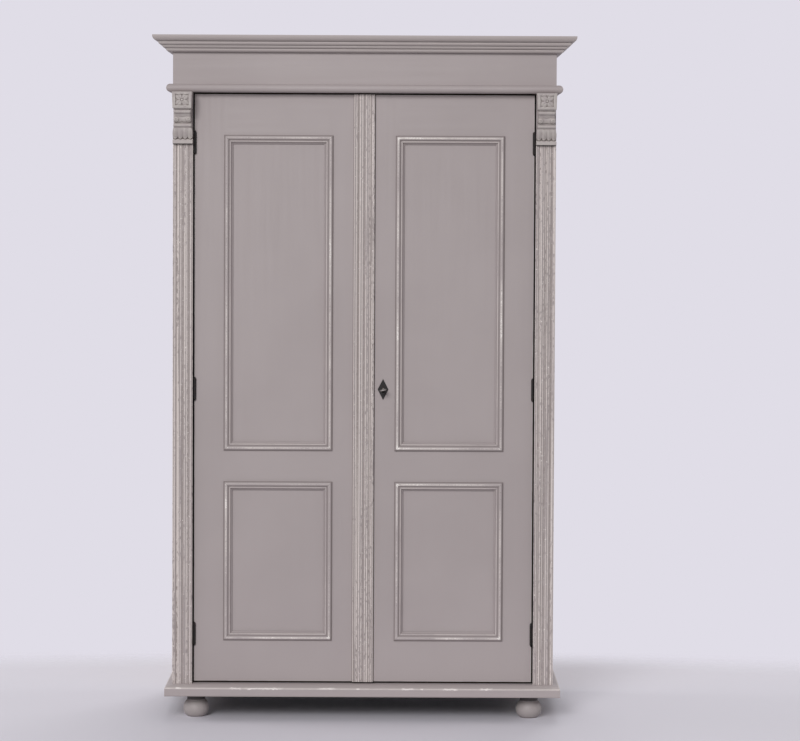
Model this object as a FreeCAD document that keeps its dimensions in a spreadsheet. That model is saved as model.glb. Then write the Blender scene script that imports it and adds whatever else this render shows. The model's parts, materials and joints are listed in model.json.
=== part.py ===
import FreeCAD, Part
import os
import re
import Sketcher
from FreeCAD import Placement, Rotation, Vector

doc = FreeCAD.newDocument("wardrobe")

# Sizes in millimetres, each written once
SIZES = {
    "overall_height": 1950,
    "carcass_width": 1090,
    "carcass_depth": 515,
    "foot_height": 68,
    "foot_sole_radius": 25,
    "foot_neck_radius": 26,
    "foot_neck_height": 47,
    "foot_curve_radius": 29.4,
    "foot_collar_height": 9,
    "foot_collar_projection": 4,
    "foot_collar_bevel": 2,
    "spigot_radius": 14,
    "spigot_length": 24,
    "foot_inset_side": 86,
    "foot_inset_front": 80,
    "foot_inset_rear": 62,
    "base_thickness": 32,
    "base_overhang_side": 20,
    "base_overhang_front": 30,
    "base_length_width": 60,
    "base_bevel_width": 25,
    "base_bevel_height": 9,
    "base_bevel_radius": 60,
    "side_thickness": 20,
    "front_stile_depth": 36,
    "back_thickness": 12,
    "back_rebate": 10,
    "tongue_length": 6,
    "tongue_thickness": 4,
    "pilaster_width": 57,
    "pilaster_thickness": 20,
    "fluted_edge": 2,
    "flute_pitch": 17,
    "flute_width": 10.5,
    "flute_depth": 2.3,
    "corbel_height": 146,
    "corbel_block_height": 48,
    "corbel_block_projection": 42,
    "corbel_scroll_height": 24,
    "corbel_cove_height": 18,
    "corbel_scroll_projection": 24,
    "corbel_scroll_radius": 13,
    "corbel_cove_radius": 19,
    "corbel_leaf_projection": 22,
    "corbel_leaf_foot": 9,
    "corbel_leaf_radius": 36,
    "corbel_fillet_height": 10,
    "corbel_fillet_projection": 14,
    "corbel_quirk": 2,
    "corbel_waist": 3.3,
    "corbel_flute_radius": 5,
    "corbel_flute_pitch": 15,
    "rosette_width": 39,
    "rosette_height": 35,
    "rosette_depth": 4,
    "rosette_rise": 5,
    "cutter_margin": 1,
    "bead_thickness": 23,
    "bead_overhang": 18,
    "bead_length_width": 50,
    "bead_nose_radius": 12,
    "frieze_height": 90.5,
    "frieze_thickness": 20,
    "top_board_thickness": 12,
    "crown_height": 46.5,
    "crown_overhang": 55,
    "crown_lip": 2.5,
    "crown_ovolo_width": 13,
    "crown_ovolo_height": 14.8,
    "crown_ovolo_radius": 15.5,
    "crown_quirk": 3,
    "crown_torus_width": 8,
    "crown_torus_height": 10.4,
    "crown_torus_radius": 9.4,
    "crown_step": 2,
    "crown_reed_width": 8,
    "crown_reed_height": 8.2,
    "crown_reed_radius": 8.4,
    "crown_foot_width": 8.5,
    "crown_foot_height": 9.6,
    "crown_foot_radius": 9.2,
    "door_thickness": 24,
    "door_gap_low": 5,
    "door_gap_high": 4,
    "hinge_gap": 3.5,
    "meeting_gap": 1.6,
    "strip_width": 59,
    "strip_thickness": 10,
    "frame_offset": 89,
    "frame_width": 311,
    "frame_rise": 118,
    "lower_frame_height": 457,
    "frame_spacing": 88.5,
    "frame_drop": 116.5,
    "moulding_width": 25.5,
    "moulding_seat": 10,
    "moulding_edge": 4.5,
    "moulding_ridge_start": 1.5,
    "moulding_ridge_width": 12,
    "moulding_ridge_radius": 6.6,
    "moulding_quirk": 1.5,
    "moulding_bead_width": 5.5,
    "moulding_bead_radius": 3.2,
    "moulding_cove_radius": 9,
    "moulding_inner_edge": 3,
    "panel_thickness": 10,
    "panel_setback": 8,
    "groove_depth": 8,
    "tenon_length": 42,
    "tenon_shoulder": 20,
    "hinge_rise": 137,
    "hinge_drop": 138,
    "hinge_length": 60,
    "knuckle_radius": 4.3,
    "knuckle_gap": 0.3,
    "hinge_axis_inset": 1.3,
    "hinge_axis_proud": 4.8,
    "leaf_thickness": 1.5,
    "leaf_depth": 20,
    "pin_radius": 2,
    "pin_clearance": 0.05,
    "pin_head_radius": 3.7,
    "pin_head_height": 3.5,
    "stop_height": 28,
    "stop_depth": 20,
    "stop_clearance": 0.5,
    "hat_space_height": 212,
    "shelf_thickness": 18,
    "shelf_setback": 45,
    "cleat_width": 18,
    "cleat_height": 35,
    "rail_radius": 14,
    "rail_setback": 215,
    "rail_end_gap": 1,
    "socket_radius": 27,
    "socket_depth": 14,
    "socket_gap": 3,
    "socket_clearance": 0.15,
    "key_offset": 55.5,
    "key_height": 945,
    "key_radius": 3,
    "key_clearance": 0.05,
    "key_reach": 36,
    "key_bow_radius": 7.5,
    "key_bow_wire": 2.2,
    "key_collar_radius": 4.4,
    "key_collar_length": 4,
    "key_collar_reach": 9,
    "bit_reach": 8.5,
    "bit_thickness": 2.6,
    "bit_length": 6.5,
    "keyhole_clearance": 0.8,
    "keyhole_slot": 4,
    "keyhole_drop": 10.5,
    "escutcheon_width": 31,
    "escutcheon_height": 60,
    "escutcheon_thickness": 1.6,
    "lock_inset": 1,
    "lock_width": 60,
    "lock_height": 76,
    "lock_depth": 15,
    "lock_wall": 1.6,
    "lock_play": 0.3,
    "bolt_thickness": 8,
    "bolt_height": 11,
    "bolt_rise": 4.5,
    "bolt_length": 52,
    "bolt_travel": 12,
    "talon_width": 9.6,
    "talon_depth": 5,
    "keep_width": 26,
    "keep_height": 56,
    "keep_thickness": 1.2,
    "slide_radius": 4,
    "slide_clearance": 0.06,
    "slide_length": 118,
    "slide_tip_gap": 2,
    "slide_hole_clearance": 0.6,
    "guide_width": 24,
    "guide_length": 90,
    "guide_plate": 2,
    "guide_start": 12,
    "loop_width": 16,
    "loop_height": 10,
    "loop_depth": 14,
    "slide_stand_off": 8,
    "knob_radius": 3.5,
    "knob_length": 16,
    "knob_place": 75,
}

sheet = doc.addObject("Spreadsheet::Sheet", "Sizes")
for row, (alias, value) in enumerate(SIZES.items(), start=1):
    sheet.set(f"A{row}", alias.replace("_", " "))
    sheet.set(f"B{row}", str(value))
    sheet.setAlias(f"B{row}", alias)
doc.recompute()

ALIAS = re.compile(r"\b(" + "|".join(SIZES) + r")\b")

# Counts and fixed angles
BACK_BOARDS = 10
HINGES_PER_DOOR = 3
FLUTE_PLACES = (1, 0, -1)
KEY_REST_ANGLE = 10

# Planes and levels that several pieces share
HALF = "(carcass_width / 2)"
INNER = f"({HALF} - side_thickness)"
CLEAR_HALF = f"({HALF} - pilaster_width)"
FRONT = "((crown_overhang - carcass_depth) / 2)"
BACK = "((crown_overhang + carcass_depth) / 2)"
BOARD_FACE = f"({BACK} - back_thickness)"
FLOOR = "(foot_height + base_thickness)"
SOLE = "(overall_height - crown_height - frieze_height - bead_thickness)"
SOLE_TOP = f"({SOLE} + bead_thickness)"
CORBEL_FOOT = f"({SOLE} - corbel_height)"
DOOR_FACE = f"({FRONT} + pilaster_thickness)"
DOOR_BACK = f"({DOOR_FACE} + door_thickness)"
DOOR_LOW = f"({FLOOR} + door_gap_low)"
DOOR_HIGH = f"({SOLE} - door_gap_high)"
HINGE_EDGE = f"({CLEAR_HALF} - hinge_gap)"
LEFT_MEETING = "(strip_width / 2)"
RIGHT_MEETING = "(strip_width / 2 + meeting_gap)"
PANEL_FACE = f"({DOOR_FACE} + panel_setback)"
PANEL_BACK = f"({PANEL_FACE} + panel_thickness)"
FRAME_NEAR = "frame_offset"
FRAME_FAR = "(frame_offset + frame_width)"
STILE_NEAR = "(frame_offset + moulding_seat)"
STILE_FAR = f"({FRAME_FAR} - moulding_seat)"
LOWER_FRAME_LOW = f"({DOOR_LOW} + frame_rise)"
LOWER_FRAME_HIGH = f"({LOWER_FRAME_LOW} + lower_frame_height)"
UPPER_FRAME_LOW = f"({LOWER_FRAME_HIGH} + frame_spacing)"
UPPER_FRAME_HIGH = f"({DOOR_HIGH} - frame_drop)"
HINGE_X = f"({HINGE_EDGE} - hinge_axis_inset)"
HINGE_Y = f"({DOOR_FACE} - hinge_axis_proud)"
HINGE_LOW = f"({DOOR_LOW} + hinge_rise)"
HINGE_HIGH = f"({DOOR_HIGH} - hinge_drop)"
STOP_FACE = f"({DOOR_BACK} + stop_clearance)"
SLIDE_Y = f"({DOOR_BACK} + slide_stand_off)"

TURN = {
    "x": Rotation(Vector(0, 1, 0), 90),
    "y": Rotation(Vector(1, 0, 0), -90),
    "z": Rotation(),
}


def number(text):
    return float(sheet.evalExpression(text))


def bind(piece, target, text):
    piece.setExpression(target, ALIAS.sub(r"Sizes.\1", text))


def place(piece, base, rotation=None):
    if rotation is not None:
        piece.Placement = Placement(Vector(), rotation)
    for axis, text in zip("xyz", base):
        bind(piece, f"Placement.Base.{axis}", text)
    return piece


def minus(text):
    return f"(-({text}))"


def across(sign, near, far):
    """Ends in X of a piece between two distances from the middle, on one side."""
    if sign > 0:
        return near, far
    return minus(far), minus(near)


# Plain solids and combinations
def box(label, x_span, y_span, z_span):
    piece = doc.addObject("Part::Box", label)
    for size, span in zip(("Length", "Width", "Height"), (x_span, y_span, z_span)):
        bind(piece, size, f"({span[1]}) - ({span[0]})")
    return place(piece, (x_span[0], y_span[0], z_span[0]))


def rod(label, direction, start, radius, length):
    piece = doc.addObject("Part::Cylinder", label)
    bind(piece, "Radius", radius)
    bind(piece, "Height", length)
    return place(piece, start, TURN[direction])


def fuse(label, pieces):
    piece = doc.addObject("Part::MultiFuse", label)
    piece.Shapes = pieces
    piece.Refine = True
    return piece


def cut(label, base, tools):
    piece = doc.addObject("Part::Cut", label)
    piece.Base = base
    piece.Tool = tools[0] if len(tools) == 1 else fuse(label + "_cutter", tools)
    piece.Refine = True
    return piece


def group(label, pieces):
    piece = doc.addObject("Part::Compound", label)
    piece.Links = pieces
    return piece


def mirrored(label, source):
    piece = doc.addObject("Part::Mirroring", label)
    piece.Source = source
    piece.Normal = Vector(1, 0, 0)
    return piece


# Sketched bodies
def sketch_on(body, role):
    sketch = body.newObject("Sketcher::SketchObject", body.Label + "_sketch")
    plane = [item for item in body.Origin.OriginFeatures if item.Role == role][0]
    sketch.AttachmentSupport = (plane, [""])
    sketch.MapMode = "FlatFace"
    return sketch


def arc_between(start, end, radius):
    """Arc of less than half a turn; a negative radius puts its centre on the right."""
    chord = end - start
    middle = (start + end) / 2
    left = Vector(-chord.y, chord.x, 0).normalize()
    rise = (radius * radius - chord.Length ** 2 / 4) ** 0.5
    centre = middle + left * (rise if radius > 0 else -rise)
    circle = Part.Circle(centre, Vector(0, 0, 1), abs(radius))
    first, last = (start, end) if radius > 0 else (end, start)
    return Part.ArcOfCircle(circle, circle.parameter(first), circle.parameter(last))


def draw(sketch, corners):
    """Closed outline. A corner is two expressions, and a third is the radius of the edge after it."""
    points = [Vector(number(corner[0]), number(corner[1]), 0) for corner in corners]
    edges = []
    for index, corner in enumerate(corners):
        start = points[index]
        end = points[(index + 1) % len(points)]
        radius = number(corner[2]) if len(corner) > 2 else None
        curve = Part.LineSegment(start, end) if radius is None else arc_between(start, end, radius)
        edge = sketch.addGeometry(curve, False)
        backward = radius is not None and radius < 0
        edges.append((edge, 2 if backward else 1, 1 if backward else 2))
        if radius is not None:
            fixed = sketch.addConstraint(Sketcher.Constraint("Radius", edge, abs(radius)))
            bind(sketch, f"Constraints[{fixed}]", f"abs({corner[2]})")
    for index, (edge, first, last) in enumerate(edges):
        following, next_first, next_last = edges[(index + 1) % len(edges)]
        sketch.addConstraint(Sketcher.Constraint("Coincident", edge, last, following, next_first))
        for kind, axis, text, value in (
            ("DistanceX", -2, corners[index][0], points[index].x),
            ("DistanceY", -1, corners[index][1], points[index].y),
        ):
            if text == "0":
                sketch.addConstraint(Sketcher.Constraint("PointOnObject", edge, first, axis))
                continue
            fixed = sketch.addConstraint(Sketcher.Constraint(kind, -1, 1, edge, first, value))
            bind(sketch, f"Constraints[{fixed}]", text)


def padded(label, role, corners, length):
    body = doc.addObject("PartDesign::Body", label)
    sketch = sketch_on(body, role)
    draw(sketch, corners)
    pad = body.newObject("PartDesign::Pad", label + "_pad")
    pad.Profile = sketch
    bind(pad, "Length", length)
    return body


def stick(label, corners, length, width, mitres):
    """Moulding along X with its long edge on the X axis, mitred at the named ends."""
    body = padded(label, "YZ_Plane", corners, length)
    sketch = sketch_on(body, "XY_Plane")
    if "start" in mitres:
        draw(sketch, [("0", "0"), (width, width), ("0", width)])
    if "end" in mitres:
        draw(sketch, [(length, "0"), (length, width), (f"({length}) - {width}", width)])
    pocket = body.newObject("PartDesign::Pocket", label + "_mitre")
    pocket.Profile = sketch
    pocket.Type = "ThroughAll"
    pocket.SideType = "Symmetric"
    return body


def turned(label, corners):
    body = doc.addObject("PartDesign::Body", label)
    sketch = sketch_on(body, "XZ_Plane")
    draw(sketch, corners)
    revolution = body.newObject("PartDesign::Revolution", label + "_turning")
    revolution.Profile = sketch
    revolution.ReferenceAxis = (sketch, ["V_Axis"])
    revolution.Angle = 360
    return body


def fluted(label, width, thickness, height):
    """Board with its back on the X axis and flutes on the far face."""
    radius = "((flute_width ^ 2 / 4 + flute_depth ^ 2) / (2 * flute_depth))"
    corners = [
        ("0", "0"),
        (width, "0"),
        (width, f"{thickness} - fluted_edge"),
        (f"{width} - fluted_edge", thickness),
    ]
    for step in FLUTE_PLACES:
        middle = f"{width} / 2 + ({step}) * flute_pitch"
        corners.append((f"{middle} + flute_width / 2", thickness, f"-{radius}"))
        corners.append((f"{middle} - flute_width / 2", thickness))
    corners.append(("fluted_edge", thickness))
    corners.append(("0", f"{thickness} - fluted_edge"))
    return padded(label, "XY_Plane", corners, height)


nodes = []


def keep(piece):
    nodes.append(piece)
    return piece


# Turned feet
FOOT_X = f"({HALF} + base_overhang_side - foot_inset_side)"
FOOT_FRONT = f"({FRONT} - base_overhang_front + foot_inset_front)"
FOOT_REAR = f"({BACK} - foot_inset_rear)"
COLLAR_RADIUS = "(foot_neck_radius + foot_collar_projection)"
FOOT_PLACES = {
    "front_left_foot": (minus(FOOT_X), FOOT_FRONT),
    "front_right_foot": (FOOT_X, FOOT_FRONT),
    "rear_left_foot": (minus(FOOT_X), FOOT_REAR),
    "rear_right_foot": (FOOT_X, FOOT_REAR),
}
foot_outline = [
    ("0", "0"),
    ("foot_sole_radius", "0", "foot_curve_radius"),
    ("foot_neck_radius", "foot_neck_height"),
    ("foot_neck_radius", "foot_height - foot_collar_height"),
    (COLLAR_RADIUS, "foot_height - foot_collar_height + foot_collar_bevel"),
    (COLLAR_RADIUS, "foot_height"),
    ("spigot_radius", "foot_height"),
    ("spigot_radius", "foot_height + spigot_length"),
    ("0", "foot_height + spigot_length"),
]
spigot_holes = []
for label, (foot_x, foot_y) in FOOT_PLACES.items():
    keep(place(turned(label, foot_outline), (foot_x, foot_y, "0")))
    hole_start = (foot_x, foot_y, "foot_height")
    spigot_holes.append(rod(label + "_hole", "z", hole_start, "spigot_radius", "spigot_length"))

# Base: floor board inside a mitred moulding
base_outline = [
    ("base_length_width", "0"),
    ("base_length_width", "base_thickness"),
    ("base_bevel_width", "base_thickness", "base_bevel_radius"),
    ("0", "base_thickness - base_bevel_height"),
    ("0", "0"),
]


def moulding_round(name, outline, width, overhang_side, overhang_front, level):
    """Front length and two returns of a moulding that runs round three sides."""
    outer = f"({HALF} + {overhang_side})"
    front = stick(name + "_front", outline, f"2 * {outer}", width, ("start", "end"))
    keep(place(front, (minus(outer), f"{FRONT} - {overhang_front}", level)))
    left = stick(name + "_left", outline, f"carcass_depth + {overhang_front}", width, ("end",))
    place(left, (minus(outer), BACK, level), Rotation(Vector(0, 0, 1), -90))
    keep(group(name + "_returns", [left, mirrored(name + "_right", left)]))


moulding_round(
    "base_moulding",
    base_outline,
    "base_length_width",
    "base_overhang_side",
    "base_overhang_front",
    "foot_height",
)
FLOOR_HALF = f"({HALF} + base_overhang_side - base_length_width)"
floor_blank = box(
    "floor_blank",
    (minus(FLOOR_HALF), FLOOR_HALF),
    (f"{FRONT} - base_overhang_front + base_length_width", BACK),
    ("foot_height", FLOOR),
)
keep(cut("floor_board", floor_blank, spigot_holes))

# Sides, front stiles and back
right_side_blank = box("right_side_blank", (INNER, HALF), (DOOR_FACE, BACK), (FLOOR, SOLE))
right_rebate = box("right_rebate", (INNER, f"{INNER} + back_rebate"), (BOARD_FACE, BACK), (FLOOR, SOLE))
right_side = keep(cut("right_side", right_side_blank, [right_rebate]))
keep(mirrored("left_side", right_side))
stile_depth = (DOOR_FACE, f"{DOOR_FACE} + front_stile_depth")
right_front_stile = keep(box("right_front_stile", (CLEAR_HALF, INNER), stile_depth, (FLOOR, SOLE)))
keep(mirrored("left_front_stile", right_front_stile))

BOARD_PITCH = f"(2 * ({INNER} + back_rebate) / {BACK_BOARDS})"
TONGUE_LOW = "((back_thickness - tongue_thickness) / 2)"
TONGUE_HIGH = "((back_thickness + tongue_thickness) / 2)"
boards = []
for index in range(BACK_BOARDS):
    board_outline = [("0", "0"), (BOARD_PITCH, "0")]
    if index < BACK_BOARDS - 1:
        board_outline += [
            (BOARD_PITCH, TONGUE_LOW),
            (f"{BOARD_PITCH} + tongue_length", TONGUE_LOW),
            (f"{BOARD_PITCH} + tongue_length", TONGUE_HIGH),
            (BOARD_PITCH, TONGUE_HIGH),
        ]
    board_outline += [(BOARD_PITCH, "back_thickness"), ("0", "back_thickness")]
    if index > 0:
        board_outline += [
            ("0", TONGUE_HIGH),
            ("tongue_length", TONGUE_HIGH),
            ("tongue_length", TONGUE_LOW),
            ("0", TONGUE_LOW),
        ]
    board = padded(f"back_board_{index + 1}", "XY_Plane", board_outline, f"{SOLE} - {FLOOR}")
    boards.append(place(board, (f"{index} * {BOARD_PITCH} - {INNER} - back_rebate", BOARD_FACE, FLOOR)))
keep(group("back_boards", boards))

# Fluted pilasters and carved corbels
HALF_TURN = Rotation(Vector(0, 0, 1), 180)
CORBEL_BLOCK_FOOT = "(corbel_height - corbel_block_height)"
CORBEL_SCROLL_TOP = f"({CORBEL_BLOCK_FOOT} - corbel_cove_height)"
CORBEL_LEAF_TOP = f"({CORBEL_SCROLL_TOP} - corbel_scroll_height)"
corbel_outline = [
    ("0", "0"),
    ("pilaster_thickness + corbel_fillet_projection", "0"),
    ("pilaster_thickness + corbel_fillet_projection", "corbel_fillet_height"),
    ("pilaster_thickness + corbel_leaf_foot", "corbel_fillet_height + corbel_quirk", "corbel_leaf_radius"),
    ("pilaster_thickness + corbel_leaf_projection", f"{CORBEL_LEAF_TOP} - corbel_quirk"),
    ("pilaster_thickness + corbel_leaf_projection - corbel_quirk", CORBEL_LEAF_TOP, "corbel_scroll_radius"),
    ("pilaster_thickness + corbel_scroll_projection", CORBEL_SCROLL_TOP, "-corbel_cove_radius"),
    ("pilaster_thickness + corbel_block_projection - corbel_quirk", CORBEL_BLOCK_FOOT),
    ("pilaster_thickness + corbel_block_projection", CORBEL_BLOCK_FOOT),
    ("pilaster_thickness + corbel_block_projection", "corbel_height"),
    ("0", "corbel_height"),
]
corbel_blank = place(
    padded("corbel_blank", "YZ_Plane", corbel_outline, "pilaster_width"),
    (HALF, DOOR_FACE, CORBEL_FOOT),
    HALF_TURN,
)
CORBEL_FRONT = f"({FRONT} - corbel_block_projection)"
waist_depth = (f"{CORBEL_FRONT} - cutter_margin", FRONT)
waist_height = (f"{CORBEL_FOOT} + {CORBEL_LEAF_TOP}", f"{CORBEL_FOOT} + {CORBEL_BLOCK_FOOT}")
corbel_cutters = [
    box(
        "corbel_outer_waist",
        (f"{HALF} - corbel_waist", f"{HALF} + cutter_margin"),
        waist_depth,
        waist_height,
    ),
    box(
        "corbel_inner_waist",
        (f"{CLEAR_HALF} - cutter_margin", f"{CLEAR_HALF} + corbel_waist"),
        waist_depth,
        waist_height,
    ),
    box(
        "rosette_recess",
        (
            f"{HALF} - (pilaster_width + rosette_width) / 2",
            f"{HALF} - (pilaster_width - rosette_width) / 2",
        ),
        (f"{CORBEL_FRONT} - cutter_margin", f"{CORBEL_FRONT} + rosette_depth"),
        (
            f"{CORBEL_FOOT} + {CORBEL_BLOCK_FOOT} + rosette_rise",
            f"{CORBEL_FOOT} + {CORBEL_BLOCK_FOOT} + rosette_rise + rosette_height",
        ),
    ),
]
for step in FLUTE_PLACES:
    corbel_cutters.append(
        rod(
            f"corbel_flute_{step + 2}",
            "z",
            (
                f"{HALF} - pilaster_width / 2 + ({step}) * corbel_flute_pitch",
                f"{FRONT} - corbel_leaf_projection - corbel_flute_radius / 2",
                f"{CORBEL_FOOT} + corbel_fillet_height",
            ),
            "corbel_flute_radius",
            f"{CORBEL_LEAF_TOP} - corbel_fillet_height",
        )
    )
right_corbel = keep(cut("right_corbel", corbel_blank, corbel_cutters))
keep(mirrored("left_corbel", right_corbel))
for label, edge in (("right_pilaster", HALF), ("left_pilaster", minus(CLEAR_HALF))):
    pilaster = fluted(label, "pilaster_width", "pilaster_thickness", f"{CORBEL_FOOT} - {FLOOR}")
    keep(place(pilaster, (edge, DOOR_FACE, FLOOR), HALF_TURN))

# Cornice: sole board in a half-round bead, frieze, crown and top board
NOSE = "(bead_nose_radius - sqrt(bead_nose_radius ^ 2 - bead_thickness ^ 2 / 4))"
bead_outline = [
    ("bead_length_width", "0"),
    ("bead_length_width", "bead_thickness"),
    (NOSE, "bead_thickness", "bead_nose_radius"),
    (NOSE, "0"),
]
moulding_round("bead", bead_outline, "bead_length_width", "bead_overhang", "bead_overhang", SOLE)
SOLE_HALF = f"({HALF} + bead_overhang - bead_length_width)"
keep(
    box(
        "sole_board",
        (minus(SOLE_HALF), SOLE_HALF),
        (f"{FRONT} - bead_overhang + bead_length_width", BACK),
        (SOLE, SOLE_TOP),
    )
)
FRIEZE_INNER = f"({HALF} - frieze_thickness)"
FRIEZE_BACK = f"({FRONT} + frieze_thickness)"
keep(box("frieze_front", (minus(HALF), HALF), (FRONT, FRIEZE_BACK), (SOLE_TOP, "overall_height")))
frieze_right = box("frieze_right", (FRIEZE_INNER, HALF), (FRIEZE_BACK, BACK), (SOLE_TOP, "overall_height"))
keep(group("frieze_returns", [frieze_right, mirrored("frieze_left", frieze_right)]))
keep(
    box(
        "frieze_back",
        (minus(FRIEZE_INNER), FRIEZE_INNER),
        (f"{BACK} - frieze_thickness", BACK),
        (SOLE_TOP, "overall_height"),
    )
)
keep(
    box(
        "top_board",
        (minus(FRIEZE_INNER), FRIEZE_INNER),
        (FRIEZE_BACK, f"{BACK} - frieze_thickness"),
        ("overall_height - top_board_thickness", "overall_height"),
    )
)
OVOLO_LOW = "(crown_height - crown_lip - crown_ovolo_height)"
TORUS_START = "(crown_ovolo_width + crown_quirk)"
TORUS_END = f"({TORUS_START} + crown_torus_width)"
TORUS_LOW = f"({OVOLO_LOW} - crown_step / 4 - crown_torus_height)"
REED_START = f"({TORUS_END} + crown_step)"
REED_END = f"({REED_START} + crown_reed_width)"
REED_LOW = f"({TORUS_LOW} - crown_reed_height)"
FOOT_START = f"({REED_END} + crown_step)"
crown_outline = [
    ("crown_overhang", "0"),
    ("crown_overhang", "crown_height"),
    ("0", "crown_height"),
    ("0", "crown_height - crown_lip", "crown_ovolo_radius"),
    ("crown_ovolo_width", OVOLO_LOW),
    (TORUS_START, OVOLO_LOW),
    (TORUS_START, f"{OVOLO_LOW} - crown_step / 4", "crown_torus_radius"),
    (TORUS_END, TORUS_LOW),
    (REED_START, TORUS_LOW, "crown_reed_radius"),
    (REED_END, REED_LOW),
    (FOOT_START, REED_LOW),
    (FOOT_START, "crown_foot_height", "crown_foot_radius"),
    (f"{FOOT_START} + crown_foot_width", "0"),
]
moulding_round(
    "crown",
    crown_outline,
    "crown_overhang",
    "crown_overhang",
    "crown_overhang",
    "overall_height - crown_height",
)

# Door stops, hat shelf and hanging rail
SLIDE_HOLE = "(slide_radius + slide_hole_clearance)"
stop_span = (minus(CLEAR_HALF), CLEAR_HALF)
stop_depth = (STOP_FACE, f"{STOP_FACE} + stop_depth")
low_stop = box("low_stop_blank", stop_span, stop_depth, (FLOOR, f"{FLOOR} + stop_height"))
high_stop = box("high_stop_blank", stop_span, stop_depth, (f"{SOLE} - stop_height", SOLE))
low_hole = rod("low_stop_hole", "z", ("0", SLIDE_Y, FLOOR), SLIDE_HOLE, "stop_height")
high_hole = rod("high_stop_hole", "z", ("0", SLIDE_Y, f"{SOLE} - stop_height"), SLIDE_HOLE, "stop_height")
keep(group("door_stops", [cut("low_stop", low_stop, [low_hole]), cut("high_stop", high_stop, [high_hole])]))

shelf_depth = (f"{DOOR_BACK} + shelf_setback", BOARD_FACE)
SHELF_TOP = f"({SOLE} - hat_space_height)"
SHELF_LOW = f"({SHELF_TOP} - shelf_thickness)"
CLEAT_LOW = f"({SHELF_LOW} - cleat_height)"
keep(box("hat_shelf", (minus(INNER), INNER), shelf_depth, (SHELF_LOW, SHELF_TOP)))
right_cleat = box("right_cleat", (f"{INNER} - cleat_width", INNER), shelf_depth, (CLEAT_LOW, SHELF_LOW))
keep(group("shelf_cleats", [right_cleat, mirrored("left_cleat", right_cleat)]))
RAIL_Y = f"({DOOR_BACK} + rail_setback)"
RAIL_Z = f"({CLEAT_LOW} - socket_gap - socket_radius)"
RAIL_HALF = f"({INNER} - rail_end_gap)"
keep(rod("hanging_rail", "x", (minus(RAIL_HALF), RAIL_Y, RAIL_Z), "rail_radius", f"2 * {RAIL_HALF}"))
socket_start = f"{INNER} - socket_depth"
socket_disc = rod("socket_disc", "x", (socket_start, RAIL_Y, RAIL_Z), "socket_radius", "socket_depth")
SOCKET_BORE = "(rail_radius + socket_clearance)"
socket_bore = rod("socket_bore", "x", (socket_start, RAIL_Y, RAIL_Z), SOCKET_BORE, "socket_depth")
socket_slot = box(
    "socket_slot",
    (socket_start, INNER),
    (f"{RAIL_Y} - {SOCKET_BORE}", f"{RAIL_Y} + {SOCKET_BORE}"),
    (RAIL_Z, f"{RAIL_Z} + socket_radius"),
)
right_socket = cut("right_socket", socket_disc, [socket_bore, socket_slot])
keep(group("rail_sockets", [right_socket, mirrored("left_socket", right_socket)]))

# Hinges, drawn on the right and mirrored
THIRD = "(hinge_length / 3)"
frame_leaves = []
door_leaves = []
pins = []


def hinge_leaf(label, low, plate_span, knuckles, bore):
    plate = (DOOR_FACE, f"{DOOR_FACE} + leaf_depth")
    solids = [box(label + "_plate", plate_span, plate, (low, f"{low} + hinge_length"))]
    for part, (start, end) in enumerate(knuckles):
        solids.append(box(f"{label}_tab_{part}", plate_span, (HINGE_Y, DOOR_FACE), (start, end)))
        length = f"({end}) - ({start})"
        solids.append(
            rod(f"{label}_knuckle_{part}", "z", (HINGE_X, HINGE_Y, start), "knuckle_radius", length)
        )
    hole = rod(label + "_bore", "z", (HINGE_X, HINGE_Y, low), bore, "hinge_length")
    return cut(label, fuse(label + "_solid", solids), [hole])


for index in range(HINGES_PER_DOOR):
    middle = f"({HINGE_LOW} + ({HINGE_HIGH} - {HINGE_LOW}) * {index} / {HINGES_PER_DOOR - 1})"
    low = f"({middle} - hinge_length / 2)"
    high = f"({low} + hinge_length)"
    frame_leaves.append(
        hinge_leaf(
            f"frame_leaf_{index + 1}",
            low,
            (f"{CLEAR_HALF} - leaf_thickness", CLEAR_HALF),
            [(low, f"{low} + {THIRD}"), (f"{high} - {THIRD}", high)],
            "pin_radius",
        )
    )
    door_leaves.append(
        hinge_leaf(
            f"door_leaf_{index + 1}",
            low,
            (HINGE_EDGE, f"{HINGE_EDGE} + leaf_thickness"),
            [(f"{low} + {THIRD} + knuckle_gap", f"{high} - {THIRD} - knuckle_gap")],
            "pin_radius + pin_clearance",
        )
    )
    shank = rod(f"pin_shank_{index + 1}", "z", (HINGE_X, HINGE_Y, low), "pin_radius", "hinge_length")
    heads = []
    for name, level, turn in (("upper", high, Rotation()), ("lower", low, Rotation(Vector(1, 0, 0), 180))):
        head = doc.addObject("Part::Cone", f"pin_{name}_head_{index + 1}")
        bind(head, "Radius1", "pin_head_radius")
        bind(head, "Radius2", "pin_radius")
        bind(head, "Height", "pin_head_height")
        heads.append(place(head, (HINGE_X, HINGE_Y, level), turn))
    pins.append(fuse(f"hinge_pin_{index + 1}", [shank] + heads))
right_frame_leaves = group("right_frame_leaves", frame_leaves)
keep(group("hinge_frame_leaves", [right_frame_leaves, mirrored("left_frame_leaves", right_frame_leaves)]))
right_pins = group("right_pins", pins)
keep(group("hinge_pins", [right_pins, mirrored("left_pins", right_pins)]))
right_door_leaves = keep(group("right_door_hinge_leaves", door_leaves))
keep(mirrored("left_door_hinge_leaves", right_door_leaves))


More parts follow.
